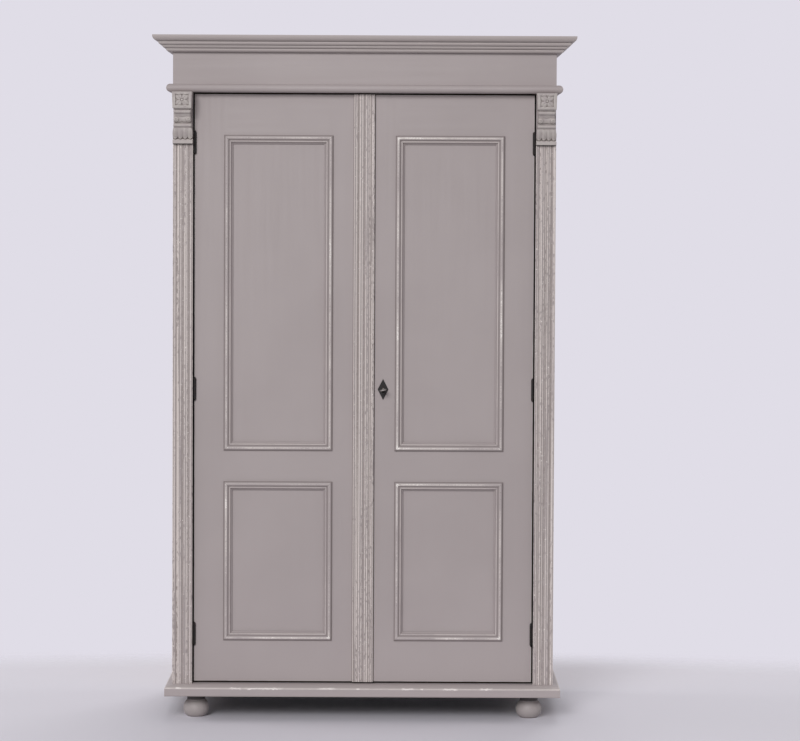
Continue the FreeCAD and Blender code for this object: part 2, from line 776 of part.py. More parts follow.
# Framed doors
def framed_door(side, sign, meeting, stile_cuts):
    """Stiles, tenoned rails and grooved panels between a meeting edge and the hinges."""
    panel_depth = (PANEL_FACE, PANEL_BACK)
    board_depth = (DOOR_FACE, DOOR_BACK)
    openings = {
        "lower": (f"{LOWER_FRAME_LOW} + moulding_seat", f"{LOWER_FRAME_HIGH} - moulding_seat"),
        "upper": (f"{UPPER_FRAME_LOW} + moulding_seat", f"{UPPER_FRAME_HIGH} - moulding_seat"),
    }
    panels = []
    for level, (low, high) in openings.items():
        panel_span = across(sign, f"{STILE_NEAR} - groove_depth", f"{STILE_FAR} + groove_depth")
        panel_height = (f"{low} - groove_depth", f"{high} + groove_depth")
        panels.append(keep(box(f"{side}_{level}_panel", panel_span, panel_depth, panel_height)))
    rails = []
    rail_levels = {
        "bottom_rail": (DOOR_LOW, openings["lower"][0]),
        "middle_rail": (openings["lower"][1], openings["upper"][0]),
        "top_rail": (openings["upper"][1], DOOR_HIGH),
    }
    for name, (low, high) in rail_levels.items():
        label = f"{side}_{name}"
        solids = [box(label + "_core", across(sign, STILE_NEAR, STILE_FAR), board_depth, (low, high))]
        tongue_span = across(sign, f"{STILE_NEAR} - groove_depth", f"{STILE_FAR} + groove_depth")
        solids.append(box(label + "_haunch", tongue_span, panel_depth, (low, high)))
        tenon_span = across(sign, f"{STILE_NEAR} - tenon_length", f"{STILE_FAR} + tenon_length")
        tenon_height = (f"{low} + tenon_shoulder", f"{high} - tenon_shoulder")
        solids.append(box(label + "_tenons", tenon_span, panel_depth, tenon_height))
        rails.append(keep(cut(label, fuse(label + "_solid", solids), panels)))
    for name, near, far, extra in (
        ("meeting_stile", meeting, STILE_NEAR, stile_cuts),
        ("hinge_stile", STILE_FAR, HINGE_EDGE, []),
    ):
        label = f"{side}_{name}"
        blank = box(label + "_blank", across(sign, near, far), board_depth, (DOOR_LOW, DOOR_HIGH))
        keep(cut(label, blank, rails + panels + extra))


# Bolection moulding frames
MOULDING_BEAD_START = "(moulding_ridge_start + moulding_ridge_width + moulding_quirk)"
MOULDING_BEAD_END = f"({MOULDING_BEAD_START} + moulding_bead_width)"
bolection_outline = [
    ("moulding_seat", "0"),
    ("moulding_seat", "-panel_setback"),
    ("moulding_width", "-panel_setback"),
    ("moulding_width", "moulding_inner_edge - panel_setback", "-moulding_cove_radius"),
    (MOULDING_BEAD_END, "moulding_quirk", "moulding_bead_radius"),
    (MOULDING_BEAD_START, "2 * moulding_quirk"),
    ("moulding_ridge_start + moulding_ridge_width", "moulding_edge", "moulding_ridge_radius"),
    ("moulding_ridge_start", "moulding_edge"),
    ("0", "moulding_edge - moulding_quirk / 2"),
    ("0", "0"),
]
FACE_UP = Rotation(Vector(1, 0, 0), 90)


def moulding_frame(label, low, high):
    """Four mitred sticks, drawn on the left door."""
    left, right = minus(FRAME_FAR), minus(FRAME_NEAR)
    sticks = []
    for name, length, corner, angle in (
        ("low", "frame_width", (left, low), 0),
        ("left", f"{high} - {low}", (left, high), 90),
        ("high", "frame_width", (right, high), 180),
        ("right", f"{high} - {low}", (right, low), 270),
    ):
        length_of_moulding = stick(
            f"{label}_{name}", bolection_outline, length, "moulding_width", ("start", "end")
        )
        turn = Rotation(Vector(0, 1, 0), angle).multiply(FACE_UP)
        sticks.append(place(length_of_moulding, (corner[0], DOOR_FACE, corner[1]), turn))
    return sticks


left_mouldings = keep(
    group(
        "left_door_mouldings",
        moulding_frame("lower_frame", LOWER_FRAME_LOW, LOWER_FRAME_HIGH)
        + moulding_frame("upper_frame", UPPER_FRAME_LOW, UPPER_FRAME_HIGH),
    )
)
keep(mirrored("right_door_mouldings", left_mouldings))

# Left door: closing strip, slide bolts and keep plate
framed_door("left", -1, minus(LEFT_MEETING), [])
closing_strip = fluted("closing_strip", "strip_width", "strip_thickness", f"{DOOR_HIGH} - {DOOR_LOW}")
keep(place(closing_strip, (LEFT_MEETING, DOOR_FACE, DOOR_LOW), HALF_TURN))
keep(
    box(
        "lock_keep",
        (f"{LEFT_MEETING} - keep_width", LEFT_MEETING),
        (DOOR_BACK, f"{DOOR_BACK} + keep_thickness"),
        ("key_height - keep_height / 2", "key_height + keep_height / 2"),
    )
)


def spread(start, sign, near, far):
    """Ends in Z of a piece between two distances from a starting level, upward or downward."""
    if sign > 0:
        return f"{start} + ({near})", f"{start} + ({far})"
    return f"{start} - ({far})", f"{start} - ({near})"


def slide_bolt(name, stop, sign):
    """Guide with two loops and the rod that slides in it toward a stop."""
    tip = f"({stop} - ({sign}) * slide_tip_gap)"
    plate_end = f"({tip} - ({sign}) * guide_start)"
    plate_depth = (DOOR_BACK, f"{DOOR_BACK} + guide_plate")
    solids = [
        box(
            name + "_plate",
            ("-guide_width / 2", "guide_width / 2"),
            plate_depth,
            spread(plate_end, -sign, "0", "guide_length"),
        )
    ]
    for part, near in enumerate(("0", "guide_length - loop_height")):
        solids.append(
            box(
                f"{name}_loop_{part}",
                ("-loop_width / 2", "loop_width / 2"),
                (DOOR_BACK, f"{DOOR_BACK} + loop_depth"),
                spread(plate_end, -sign, near, f"({near}) + loop_height"),
            )
        )
    bore_low = spread(plate_end, -sign, "0", "guide_length")[0]
    bore = rod(
        name + "_bore", "z", ("0", SLIDE_Y, bore_low), "slide_radius + slide_clearance", "guide_length"
    )
    guide = cut(name + "_guide", fuse(name + "_guide_solid", solids), [bore])
    rod_low = spread(tip, -sign, "0", "slide_length")[0]
    shank = rod(name + "_shank", "z", ("0", SLIDE_Y, rod_low), "slide_radius", "slide_length")
    knob_start = ("0", SLIDE_Y, f"{tip} - ({sign}) * knob_place")
    knob = rod(name + "_knob", "y", knob_start, "knob_radius", "knob_length")
    keep(fuse(name + "_bolt", [shank, knob]))
    return guide


guides = [
    slide_bolt("upper", f"({SOLE} - stop_height)", 1),
    slide_bolt("lower", f"({FLOOR} + stop_height)", -1),
]
keep(group("bolt_guides", guides))


# Right door: escutcheon, key, lock case and bolt
def keyhole(label, start, length, radius):
    round_hole = rod(label + "_round", "y", ("key_offset", start, "key_height"), radius, length)
    slot = box(
        label + "_slot",
        ("key_offset - keyhole_slot / 2", "key_offset + keyhole_slot / 2"),
        (start, f"{start} + {length}"),
        ("key_height - keyhole_drop", "key_height"),
    )
    return [round_hole, slot]


KEYHOLE_RADIUS = "(key_radius + keyhole_clearance)"
framed_door("right", 1, RIGHT_MEETING, keyhole("stile_keyhole", DOOR_FACE, "door_thickness", KEYHOLE_RADIUS))
lozenge = padded(
    "lozenge",
    "XZ_Plane",
    [
        ("0", "-escutcheon_height / 2"),
        ("escutcheon_width / 2", "0"),
        ("0", "escutcheon_height / 2"),
        ("-escutcheon_width / 2", "0"),
    ],
    "escutcheon_thickness",
)
place(lozenge, ("key_offset", DOOR_FACE, "key_height"))
PLATE_FACE = f"({DOOR_FACE} - escutcheon_thickness)"
keep(cut("escutcheon", lozenge, keyhole("plate_keyhole", PLATE_FACE, "escutcheon_thickness", KEYHOLE_RADIUS)))

LOCK_NEAR = f"({RIGHT_MEETING} + lock_inset)"
LOCK_FAR = f"({LOCK_NEAR} + lock_width)"
LOCK_LOW = "(key_height - lock_height / 2)"
LOCK_HIGH = "(key_height + lock_height / 2)"
LOCK_BACK = f"({DOOR_BACK} + lock_depth)"
BOLT_NEAR = f"({LOCK_NEAR} + lock_play)"
BOLT_FACE = f"({DOOR_BACK} + lock_wall + lock_play)"
BOLT_BACK = f"({BOLT_FACE} + bolt_thickness)"
BOLT_LOW = "(key_height + bolt_rise)"
BOLT_HIGH = f"({BOLT_LOW} + bolt_height)"
case_blank = box("lock_blank", (LOCK_NEAR, LOCK_FAR), (DOOR_BACK, LOCK_BACK), (LOCK_LOW, LOCK_HIGH))
case_hollow = box(
    "lock_hollow",
    (f"{LOCK_NEAR} + lock_wall", f"{LOCK_FAR} - lock_wall"),
    (f"{DOOR_BACK} + lock_wall", f"{LOCK_BACK} - lock_wall"),
    (f"{LOCK_LOW} + lock_wall", f"{LOCK_HIGH} - lock_wall"),
)
bolt_slot = box(
    "bolt_slot",
    (LOCK_NEAR, f"{LOCK_NEAR} + lock_wall"),
    (f"{BOLT_FACE} - lock_play", f"{BOLT_BACK} + lock_play"),
    (f"{BOLT_LOW} - lock_play", f"{BOLT_HIGH} + lock_play"),
)
case_keyhole = keyhole("case_keyhole", DOOR_BACK, "lock_wall", "key_radius + key_clearance")
keep(cut("lock_case", case_blank, [case_hollow, bolt_slot] + case_keyhole))
bolt_span = (BOLT_NEAR, f"{BOLT_NEAR} + bolt_length")
bolt_bar = box("bolt_bar", bolt_span, (BOLT_FACE, BOLT_BACK), (BOLT_LOW, BOLT_HIGH))
TALON_X = "(key_offset + bolt_travel / 2)"
talon = box(
    "talon",
    (f"{TALON_X} - talon_width / 2", f"{TALON_X} + talon_width / 2"),
    (BOLT_FACE, BOLT_BACK),
    (BOLT_LOW, f"{BOLT_LOW} + talon_depth"),
)
keep(cut("lock_bolt", bolt_bar, [talon]))

BOW_Y = f"({DOOR_FACE} - key_reach)"
KEY_END = f"({LOCK_BACK} - lock_wall - lock_play)"
bow = doc.addObject("Part::Torus", "key_bow")
bind(bow, "Radius1", "key_bow_radius")
bind(bow, "Radius2", "key_bow_wire")
place(bow, ("0", BOW_Y, "0"))
SHANK_START = f"({BOW_Y} + key_bow_radius)"
key_shank = rod("key_shank", "y", ("0", SHANK_START, "0"), "key_radius", f"{KEY_END} - {SHANK_START}")
key_collar = rod(
    "key_collar", "y", ("0", f"{DOOR_FACE} - key_collar_reach", "0"), "key_collar_radius", "key_collar_length"
)
BIT_START = f"({BOLT_FACE} + (bolt_thickness - bit_length) / 2)"
bit = box(
    "key_bit",
    ("0", "bit_reach"),
    (BIT_START, f"{BIT_START} + bit_length"),
    ("-bit_thickness / 2", "bit_thickness / 2"),
)
key = fuse("key", [bow, key_shank, key_collar, bit])
keep(place(key, ("key_offset", "0", "key_height"), Rotation(Vector(0, -1, 0), KEY_REST_ANGLE)))

doc.recompute()

# Check and export
for item in doc.Objects:
    if "Invalid" in item.State or "Error" in item.State:
        raise RuntimeError(f"{item.Label} did not recompute: {item.State}")
os.makedirs("parts", exist_ok=True)
for piece in nodes:
    shape = piece.Shape
    if shape.isNull() or not shape.isValid() or not shape.Solids:
        raise RuntimeError(f"{piece.Label} has no valid solid")
    shape.exportStep(f"parts/{piece.Label}.step")
print(len(nodes), "nodes written")
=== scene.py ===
import json
import math

import bmesh
import bpy
from mathutils import Matrix, Vector


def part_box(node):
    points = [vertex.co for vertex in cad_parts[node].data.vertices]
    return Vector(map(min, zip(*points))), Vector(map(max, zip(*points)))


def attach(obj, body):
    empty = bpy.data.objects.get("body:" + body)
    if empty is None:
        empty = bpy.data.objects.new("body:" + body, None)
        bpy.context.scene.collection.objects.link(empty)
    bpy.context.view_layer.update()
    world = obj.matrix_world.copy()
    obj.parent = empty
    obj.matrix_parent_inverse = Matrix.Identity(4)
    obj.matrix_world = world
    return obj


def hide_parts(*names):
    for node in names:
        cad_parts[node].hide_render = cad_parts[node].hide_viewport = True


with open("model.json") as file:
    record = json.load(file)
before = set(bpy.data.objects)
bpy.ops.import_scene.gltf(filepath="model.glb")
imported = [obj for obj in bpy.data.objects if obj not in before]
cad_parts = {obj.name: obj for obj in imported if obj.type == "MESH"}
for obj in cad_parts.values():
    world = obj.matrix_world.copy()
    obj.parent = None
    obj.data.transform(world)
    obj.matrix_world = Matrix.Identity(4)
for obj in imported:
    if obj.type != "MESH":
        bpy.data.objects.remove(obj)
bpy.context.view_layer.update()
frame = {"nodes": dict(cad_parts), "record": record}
scene = bpy.context.scene


def colour(red, green, blue):
    """Linear colour of three sRGB levels from 0 to 255."""
    levels = [level / 255 for level in (red, green, blue)]
    linear = [v / 12.92 if v <= 0.04045 else ((v + 0.055) / 1.055) ** 2.4 for v in levels]
    return (*linear, 1.0)


# Colours
PAINT = colour(167, 157, 157)
PAINT_DARK = colour(163, 153, 153)
# Thin paint where it is worn; also painted light on the crown, its reeds' crests, the base's top bevel and
# the frames' beads
PAINT_THIN_AND_LIT = colour(192, 183, 180)
# Rubbed paint; also painted highlight on the frames' ridges and the carving's high points
PAINT_RUBBED_AND_LIT = colour(210, 202, 198)
PAINT_BARE = colour(238, 232, 228)
# Grime; also painted shade in the quirks of the frames and the crown, beside the closing strip and in the
# carving's hollows
PAINT_GRIME_AND_SHADE = colour(104, 94, 91)
# Painted shade in the gaps round the doors, on the pilasters under the corbels, under the feet's collars
# and on the base under the doors; also the dark joints of the back boards
GAP_SHADE_AND_JOINT = colour(28, 22, 20)
# Painted shade on the stops, the front stiles and the floor board, where they show through the gaps and
# under the cupboard
DEEP_SHADE = colour(20, 16, 14)
FOOT_GREY = colour(156, 150, 147)
CORBEL_GREY = colour(179, 172, 168)
FLUTE_DARK = colour(136, 126, 121)
FLUTE_LIGHT = colour(217, 207, 203)
PINE_PALE = colour(208, 172, 126)
PINE_DEEP = colour(170, 122, 74)
PINE_AGED = colour(150, 112, 74)
PINE_KNOT = colour(88, 54, 32)
IRON = colour(13, 10, 9)
IRON_RUST = colour(38, 28, 24)
STEEL = colour(150, 146, 142)
FLOOR_COLOUR = colour(216, 213, 221)
BACKDROP_COLOUR = colour(224, 221, 231)
SKY_COLOUR = colour(250, 249, 250)

# Shine of each finish; a pair is its roughness at the low and at the high points of its relief
PAINT_ROUGHNESS = (0.5, 0.68)
PINE_ROUGHNESS = (0.82, 0.94)
IRON_ROUGHNESS = (0.5, 0.72)
STEEL_ROUGHNESS = (0.35, 0.6)
FLOOR_ROUGHNESS = 0.8
PINE_SHINE = 0.15
IRON_METALLIC = 0.3
STEEL_METALLIC = 0.9

# Depth of the relief in each finish, in metres, and the range and strength that it is used with
BRUSH_DEPTH = 0.00008
GRIT_DEPTH = 0.0002
GRAIN_DEPTH = 0.0003
LINE_DEPTH = 0.0004
RELIEF_RANGE = (0.2, 0.8)
RELIEF_STRENGTH = 0.6

# Axes that brush marks and grain run along
ALONG_X, ALONG_Y, ALONG_Z = range(3)


def centre(node):
    """Middle of a node's box at rest."""
    low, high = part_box(node)
    return (low + high) / 2


# Places that the wear and the painted shade follow, read from the solids
STILE_LOW, STILE_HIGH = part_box("right_hinge_stile")
DOOR_EDGE = STILE_HIGH.x
DOOR_BACK = STILE_HIGH.y
DOOR_LOW, DOOR_HIGH = STILE_LOW.z, STILE_HIGH.z
STRIP_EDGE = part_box("closing_strip")[1].x
PILASTER_MIDDLE = centre("right_pilaster").x
SIDE_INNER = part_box("right_side")[0].x
SIDE_MIDDLE = centre("right_side").x
PANEL_MIDDLE = centre("right_upper_panel").y
BASE_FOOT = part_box("base_moulding_front")[0].z
JAMB_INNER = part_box("right_front_stile")[0].x


# Shader graphs
class Graph:
    """Short calls that build the nodes of one tree. A value may be a number or a socket."""

    def __init__(self, tree):
        self.tree = tree
        tree.nodes.clear()

    def node(self, kind, inputs=(), **settings):
        made = self.tree.nodes.new(kind)
        for name, value in settings.items():
            setattr(made, name, value)
        for socket, value in dict(inputs).items():
            self.feed(made.inputs[socket], value)
        return made

    def feed(self, socket, value):
        if isinstance(value, bpy.types.NodeSocket):
            self.tree.links.new(value, socket)
        else:
            socket.default_value = value

    def math(self, operation, *values):
        return self.node("ShaderNodeMath", enumerate(values), operation=operation).outputs[0]

    def chain(self, operation, *values):
        total = values[0]
        for value in values[1:]:
            total = self.math(operation, total, value)
        return total

    def add(self, *values):
        return self.chain("ADD", *values)

    def times(self, *values):
        return self.chain("MULTIPLY", *values)

    def least(self, *values):
        return self.chain("MINIMUM", *values)

    def most(self, *values):
        return self.chain("MAXIMUM", *values)

    def minus(self, first, second):
        return self.math("SUBTRACT", first, second)

    def unsigned(self, value):
        return self.math("ABSOLUTE", value)

    def away(self, value, level):
        return self.unsigned(self.minus(value, level))

    def within(self, value, low, high):
        """How far a value is from the nearer of two limits, inwards."""
        return self.least(self.minus(value, low), self.minus(high, value))

    def ramp(self, value, low, high, start=0.0, end=1.0):
        limits = {"Value": value, "From Min": low, "From Max": high, "To Min": start, "To Max": end}
        made = self.node("ShaderNodeMapRange", limits, interpolation_type="SMOOTHSTEP")
        return made.outputs[0]

    def fade(self, value, limits, amount=1.0):
        """0 at the first limit, and an amount at the second."""
        return self.ramp(value, *limits, 0.0, amount)

    def past(self, value, level, limits, amount=1.0):
        """A fade whose limits are given from a level."""
        return self.fade(value, [level + limit for limit in limits], amount)

    def near(self, value, level, limits, amount=1.0):
        """A fade by the distance from a level, on both sides of it."""
        return self.fade(self.away(value, level), limits, amount)

    def mix(self, factor, first, second):
        made = self.node("ShaderNodeMix", {0: factor, 6: first, 7: second}, data_type="RGBA")
        return made.outputs[2]

    def stretched(self, place, factors):
        made = self.node("ShaderNodeVectorMath", {0: place, 1: factors}, operation="MULTIPLY")
        return made.outputs[0]

    def noise(self, place, scale, detail=4.0, roughness=0.55):
        """Noise from 0 to 1 with one scale, or with a scale for each axis, in waves to the metre."""
        if isinstance(scale, tuple):
            place = self.stretched(place, scale)
            scale = 1.0
        values = {"Vector": place, "Scale": scale, "Detail": detail, "Roughness": roughness}
        return self.node("ShaderNodeTexNoise", values).outputs["Fac"]

    def bump(self, height, distance, strength):
        values = {"Height": height, "Distance": distance, "Strength": strength}
        return self.node("ShaderNodeBump", values).outputs["Normal"]


class Surface(Graph):
    """Graph of one material, with its shader and each point's place in the piece's own frame."""

    def __init__(self, name):
        self.material = bpy.data.materials.new(name)
        self.material.use_nodes = True
        super().__init__(self.material.node_tree)
        self.shader = self.node("ShaderNodeBsdfPrincipled")
        self.output = self.node("ShaderNodeOutputMaterial", {"Surface": self.shader.outputs["BSDF"]})
        self.place = self.node("ShaderNodeTexCoord").outputs["Object"]
        axes = self.node("ShaderNodeSeparateXYZ", {"Vector": self.place}).outputs
        self.x = axes["X"]
        self.y = axes["Y"]
        self.z = axes["Z"]

    def aside(self):
        """Distance from the middle of the cupboard, to the left or to the right."""
        return self.unsigned(self.x)

    def dress(self, inputs):
        """Feeds the shader's sockets by their names, and returns the material."""
        for name, value in inputs.items():
            self.feed(self.shader.inputs[name], value)
        return self.material

    def finish(self, tone, relief, depth=BRUSH_DEPTH, roughness=PAINT_ROUGHNESS):
        """Dresses the shader in one colour and one relief."""
        rough = self.ramp(relief, *RELIEF_RANGE, *roughness)
        normal = self.bump(relief, depth, RELIEF_STRENGTH)
        return self.dress({"Base Color": tone, "Roughness": rough, "Normal": normal})

    def finish_pine(self, tone, relief):
        """Dresses the shader in dry, bare pine."""
        self.dress({"Specular IOR Level": PINE_SHINE})
        return self.finish(tone, relief, GRAIN_DEPTH, PINE_ROUGHNESS)

    def finish_both(self, bare, paint, wood):
        """Paint where bare is 0 and pine where it is 1, each given as its colour and relief."""
        tone, relief = [self.mix(bare, first, second) for first, second in zip(paint, wood)]
        return self.finish(tone, relief)


# Paint and pine: scales of marks, along them and across them, growth rings and knots
MOTTLE_SCALE = 2.6
BRUSH_SCALES = (3.0, 90.0)
RING_SCALES = (0.55, 7.0)
RING_COUNT = 15.0
KNOT_SCALES = (3.6, 9.0)
KNOT_CORE = (0.11, 0.06)
KNOT_REACH = (0.4, 0.0)
KNOT_PULL = 1.8
FIBRE_SCALES = (12.0, 420.0)


def streaked(along, lengthwise, crosswise):
    """Noise scales for marks drawn out along one axis."""
    scales = [crosswise] * 3
    scales[along] = lengthwise
    return tuple(scales)


def paint_coat(graph, along):
    """Colour and relief of sound chalk paint, with brush marks along one axis."""
    mottle = graph.ramp(graph.noise(graph.place, MOTTLE_SCALE, 3.0), 0.3, 0.7)
    brush = graph.noise(graph.place, streaked(along, *BRUSH_SCALES), 5.0)
    tone = graph.add(graph.times(mottle, 0.7), graph.times(brush, 0.3))
    return graph.mix(graph.ramp(tone, 0.1, 0.9), PAINT_DARK, PAINT), brush


def pine_coat(graph, place, along):
    """Colour and relief of flat-sawn pine with its grain along one axis."""
    knots = {"Vector": graph.stretched(place, streaked(along, *KNOT_SCALES)), "Scale": 1.0}
    spot = graph.node("ShaderNodeTexVoronoi", knots).outputs["Distance"]
    field = graph.noise(place, streaked(along, *RING_SCALES), 2.0, 0.4)
    rings = graph.add(graph.times(field, RING_COUNT), graph.fade(spot, KNOT_REACH, KNOT_PULL))
    late = graph.ramp(graph.math("PINGPONG", rings, 1.0), 0.4, 1.0)
    fibre = graph.noise(place, streaked(along, *FIBRE_SCALES), 3.0, 0.6)
    tone = graph.mix(graph.times(late, 0.75), PINE_PALE, PINE_DEEP)
    tone = graph.mix(graph.ramp(fibre, 0.5, 0.8, 0.0, 0.4), tone, PINE_DEEP)
    tone = graph.mix(graph.fade(spot, KNOT_CORE), tone, PINE_KNOT)
    return tone, graph.add(graph.times(late, 0.6), graph.times(fibre, 0.4))


def patchwork(graph, patches):
    """1 in patches along the front, given by their middles and half lengths, fading to 0 at their ends."""
    inside = 0.0
    for middle, half in patches:
        inside = graph.most(inside, graph.near(graph.x, middle, (half, half / 2)))
    return inside


def plain_paint(name, along):
    graph = Surface(name)
    return graph.finish(*paint_coat(graph, along))


def pine(name, along):
    graph = Surface(name)
    return graph.finish_pine(*pine_coat(graph, graph.place, along))


# Doors and sides: limits of the wear and of the painted shade, where each starts and where it is full, and
# of the paint
DOOR_RUB = (0.0034, 0.001)
DOOR_EDGE_SHADE = (0.0012, 0.0006)
STRIP_SHADE_AND_DIRT = (0.004, 0.001)
PAINT_END = (-0.0035, -0.0015)
PAINT_RAGGED = 0.003
RAGGED_SCALE = 60.0
BREAK_SCALE = 22.0
TURN_BACK = (-0.0005, 0.0005)
TURN_INWARD = (0.0005, -0.0005)


def door_paint(name, along):
    """Paint on the face of a door board, rubbed along the door's outer arris, with painted shade on its
    edges in the gaps and beside the closing strip, and bare pine behind.
    """
    graph = Surface(name)
    tone, brush = paint_coat(graph, along)
    hinge = graph.minus(DOOR_EDGE, graph.aside())
    edge = graph.least(hinge, graph.within(graph.z, DOOR_LOW, DOOR_HIGH))
    broken = graph.ramp(graph.noise(graph.place, BREAK_SCALE, 3.0), 0.36, 0.56)
    tone = graph.mix(graph.times(graph.fade(edge, DOOR_RUB), broken, 0.8), tone, PAINT_THIN_AND_LIT)
    beside = graph.minus(graph.aside(), STRIP_EDGE)
    # Painted shade, with some dirt, on the door's face beside the closing strip
    tone = graph.mix(graph.fade(beside, STRIP_SHADE_AND_DIRT, 0.5), tone, PAINT_GRIME_AND_SHADE)
    wood, grain = pine_coat(graph, graph.place, along)
    ragged = graph.add(graph.y, graph.times(graph.noise(graph.place, RAGGED_SCALE), PAINT_RAGGED))
    behind = graph.past(ragged, DOOR_BACK, PAINT_END)
    tone = graph.mix(behind, tone, wood)
    # Painted shade on the door's edges, so that the gaps round the doors read dark
    tone = graph.mix(graph.fade(edge, DOOR_EDGE_SHADE, 0.9), tone, GAP_SHADE_AND_JOINT)
    return graph.finish(tone, graph.mix(behind, brush, grain))


def panel_paint(name):
    """Paint on the face of a panel, with bare pine behind."""
    graph = Surface(name)
    behind = graph.past(graph.y, PANEL_MIDDLE, TURN_BACK)
    return graph.finish_both(behind, paint_coat(graph, ALONG_Z), pine_coat(graph, graph.place, ALONG_Z))


def side_paint(name):
    """Paint on the outer face of a side, with bare pine inside."""
    graph = Surface(name)
    inside = graph.past(graph.aside(), SIDE_MIDDLE, TURN_INWARD)
    return graph.finish_both(inside, paint_coat(graph, ALONG_Z), pine_coat(graph, graph.place, ALONG_Z))


# Bolection frames: their forms, measured inwards from a frame's outer edge, and the wear, painted highlight
# and painted shade on each
FRAME_BREAK = (0.680, 0.7685)
RIDGE_CREST = 0.0076
QUIRK_MIDDLE = 0.0138
BEAD_CREST = 0.0184
FRAME_INNER = 0.0255
RIDGE_WEAR_AND_HIGHLIGHT = (0.0034, 0.0012)
BEAD_WEAR_AND_HIGHLIGHT = (0.0024, 0.0008)
MITRE_KNOCKS = (0.007, 0.003)
MITRE_GRIME = (0.0012, 0.0003)
QUIRK_SHADE = (0.0028, 0.001)
OUTER_EDGE_SHADE = (0.0036, 0.0014)
INNER_EDGE_SHADE = (-0.0014, 0.0)
RUB_PATCH_SCALE = 7.0
RUB_GRIT_SCALE = 210.0
DOT_SCALE = 360.0


def moulding_paint(name):
    """Paint on the bolection frames, rubbed on the ridge and bead with painted highlight along them, with
    painted shade in the quirk and along the outer and inner edges, and dark lines at the mitres.
    """
    graph = Surface(name)
    tone = paint_coat(graph, ALONG_Z)[0]
    low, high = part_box("right_door_mouldings")
    upright = graph.within(graph.aside(), low.x, high.x)
    lower = graph.within(graph.z, low.z, FRAME_BREAK[0])
    upper = graph.within(graph.z, FRAME_BREAK[1], high.z)
    level = graph.most(lower, upper)
    inward = graph.least(upright, level)
    corner = graph.away(upright, level)
    patch = graph.noise(graph.place, RUB_PATCH_SCALE, 3.0)
    grit = graph.noise(graph.place, RUB_GRIT_SCALE, 4.0, 0.7)
    dots = graph.noise(graph.place, DOT_SCALE, 2.0)
    rub = graph.add(patch, graph.times(grit, 0.5))
    crest = graph.near(inward, RIDGE_CREST, RIDGE_WEAR_AND_HIGHLIGHT)
    bead = graph.near(inward, BEAD_CREST, BEAD_WEAR_AND_HIGHLIGHT)
    # Rubbed paint on the ridge and bead, with a faint even lightening along their crests that is painted
    # highlight
    tone = graph.mix(graph.times(crest, graph.ramp(rub, 0.62, 0.88, 0.15, 0.95)), tone, PAINT_RUBBED_AND_LIT)
    tone = graph.mix(graph.times(bead, graph.ramp(rub, 0.56, 0.82, 0.15, 0.8)), tone, PAINT_THIN_AND_LIT)
    tone = graph.mix(graph.times(crest, graph.ramp(rub, 0.88, 0.95)), tone, PAINT_BARE)
    tone = graph.mix(graph.times(crest, graph.ramp(dots, 0.66, 0.72, 0.0, 0.7)), tone, PAINT_GRIME_AND_SHADE)
    knocked = graph.times(graph.fade(corner, MITRE_KNOCKS), graph.ramp(rub, 0.7, 0.8))
    tone = graph.mix(graph.times(crest, knocked), tone, PAINT_BARE)
    # Painted shade in the quirk and along the frame's outer and inner edges; the mitres get dark joint
    # lines
    quirk = graph.near(inward, QUIRK_MIDDLE, QUIRK_SHADE, 0.3)
    outer = graph.fade(inward, OUTER_EDGE_SHADE, 0.65)
    inner = graph.past(inward, FRAME_INNER, INNER_EDGE_SHADE, 0.35)
    mitre = graph.fade(corner, MITRE_GRIME, 0.4)
    tone = graph.mix(graph.most(quirk, outer, inner, mitre), tone, PAINT_GRIME_AND_SHADE)
    return graph.finish(tone, grit, GRIT_DEPTH)


# Fluted boards: flutes, the wear over them, painted shade in the flutes' hollows, and painted shade beside
# a pilaster and at its top under the corbel
FLUTE_PITCH = 0.017
FLUTE_HALF = 0.00525
ARRIS_RUB = (0.0015, 0.0007)
HOLLOW_SHADE = (0.0036, 0.0014)
LAND_DULL = (0.001, 0.0024)
RIM_RUB = (0.0022, 0.001)
RIM_FRONT = (0.004, 0.002)
WORN_FRONT = (0.009, 0.006)
GAP_SIDE = (0.0005, 0.0002)
GAP_FRONT = (0.002, 0.007)
CORBEL_SHADE = (-0.004, -0.0015)
LINE_SCALES = (330.0, 40.0, 0.25)
STAIN_SCALES = (230.0, 40.0, 0.35)
DASH_SCALES = (230.0, 60.0, 70.0)
RUN_SCALES = (130.0, 40.0, 2.0)
FLECK_SCALES = (280.0, 110.0, 180.0)


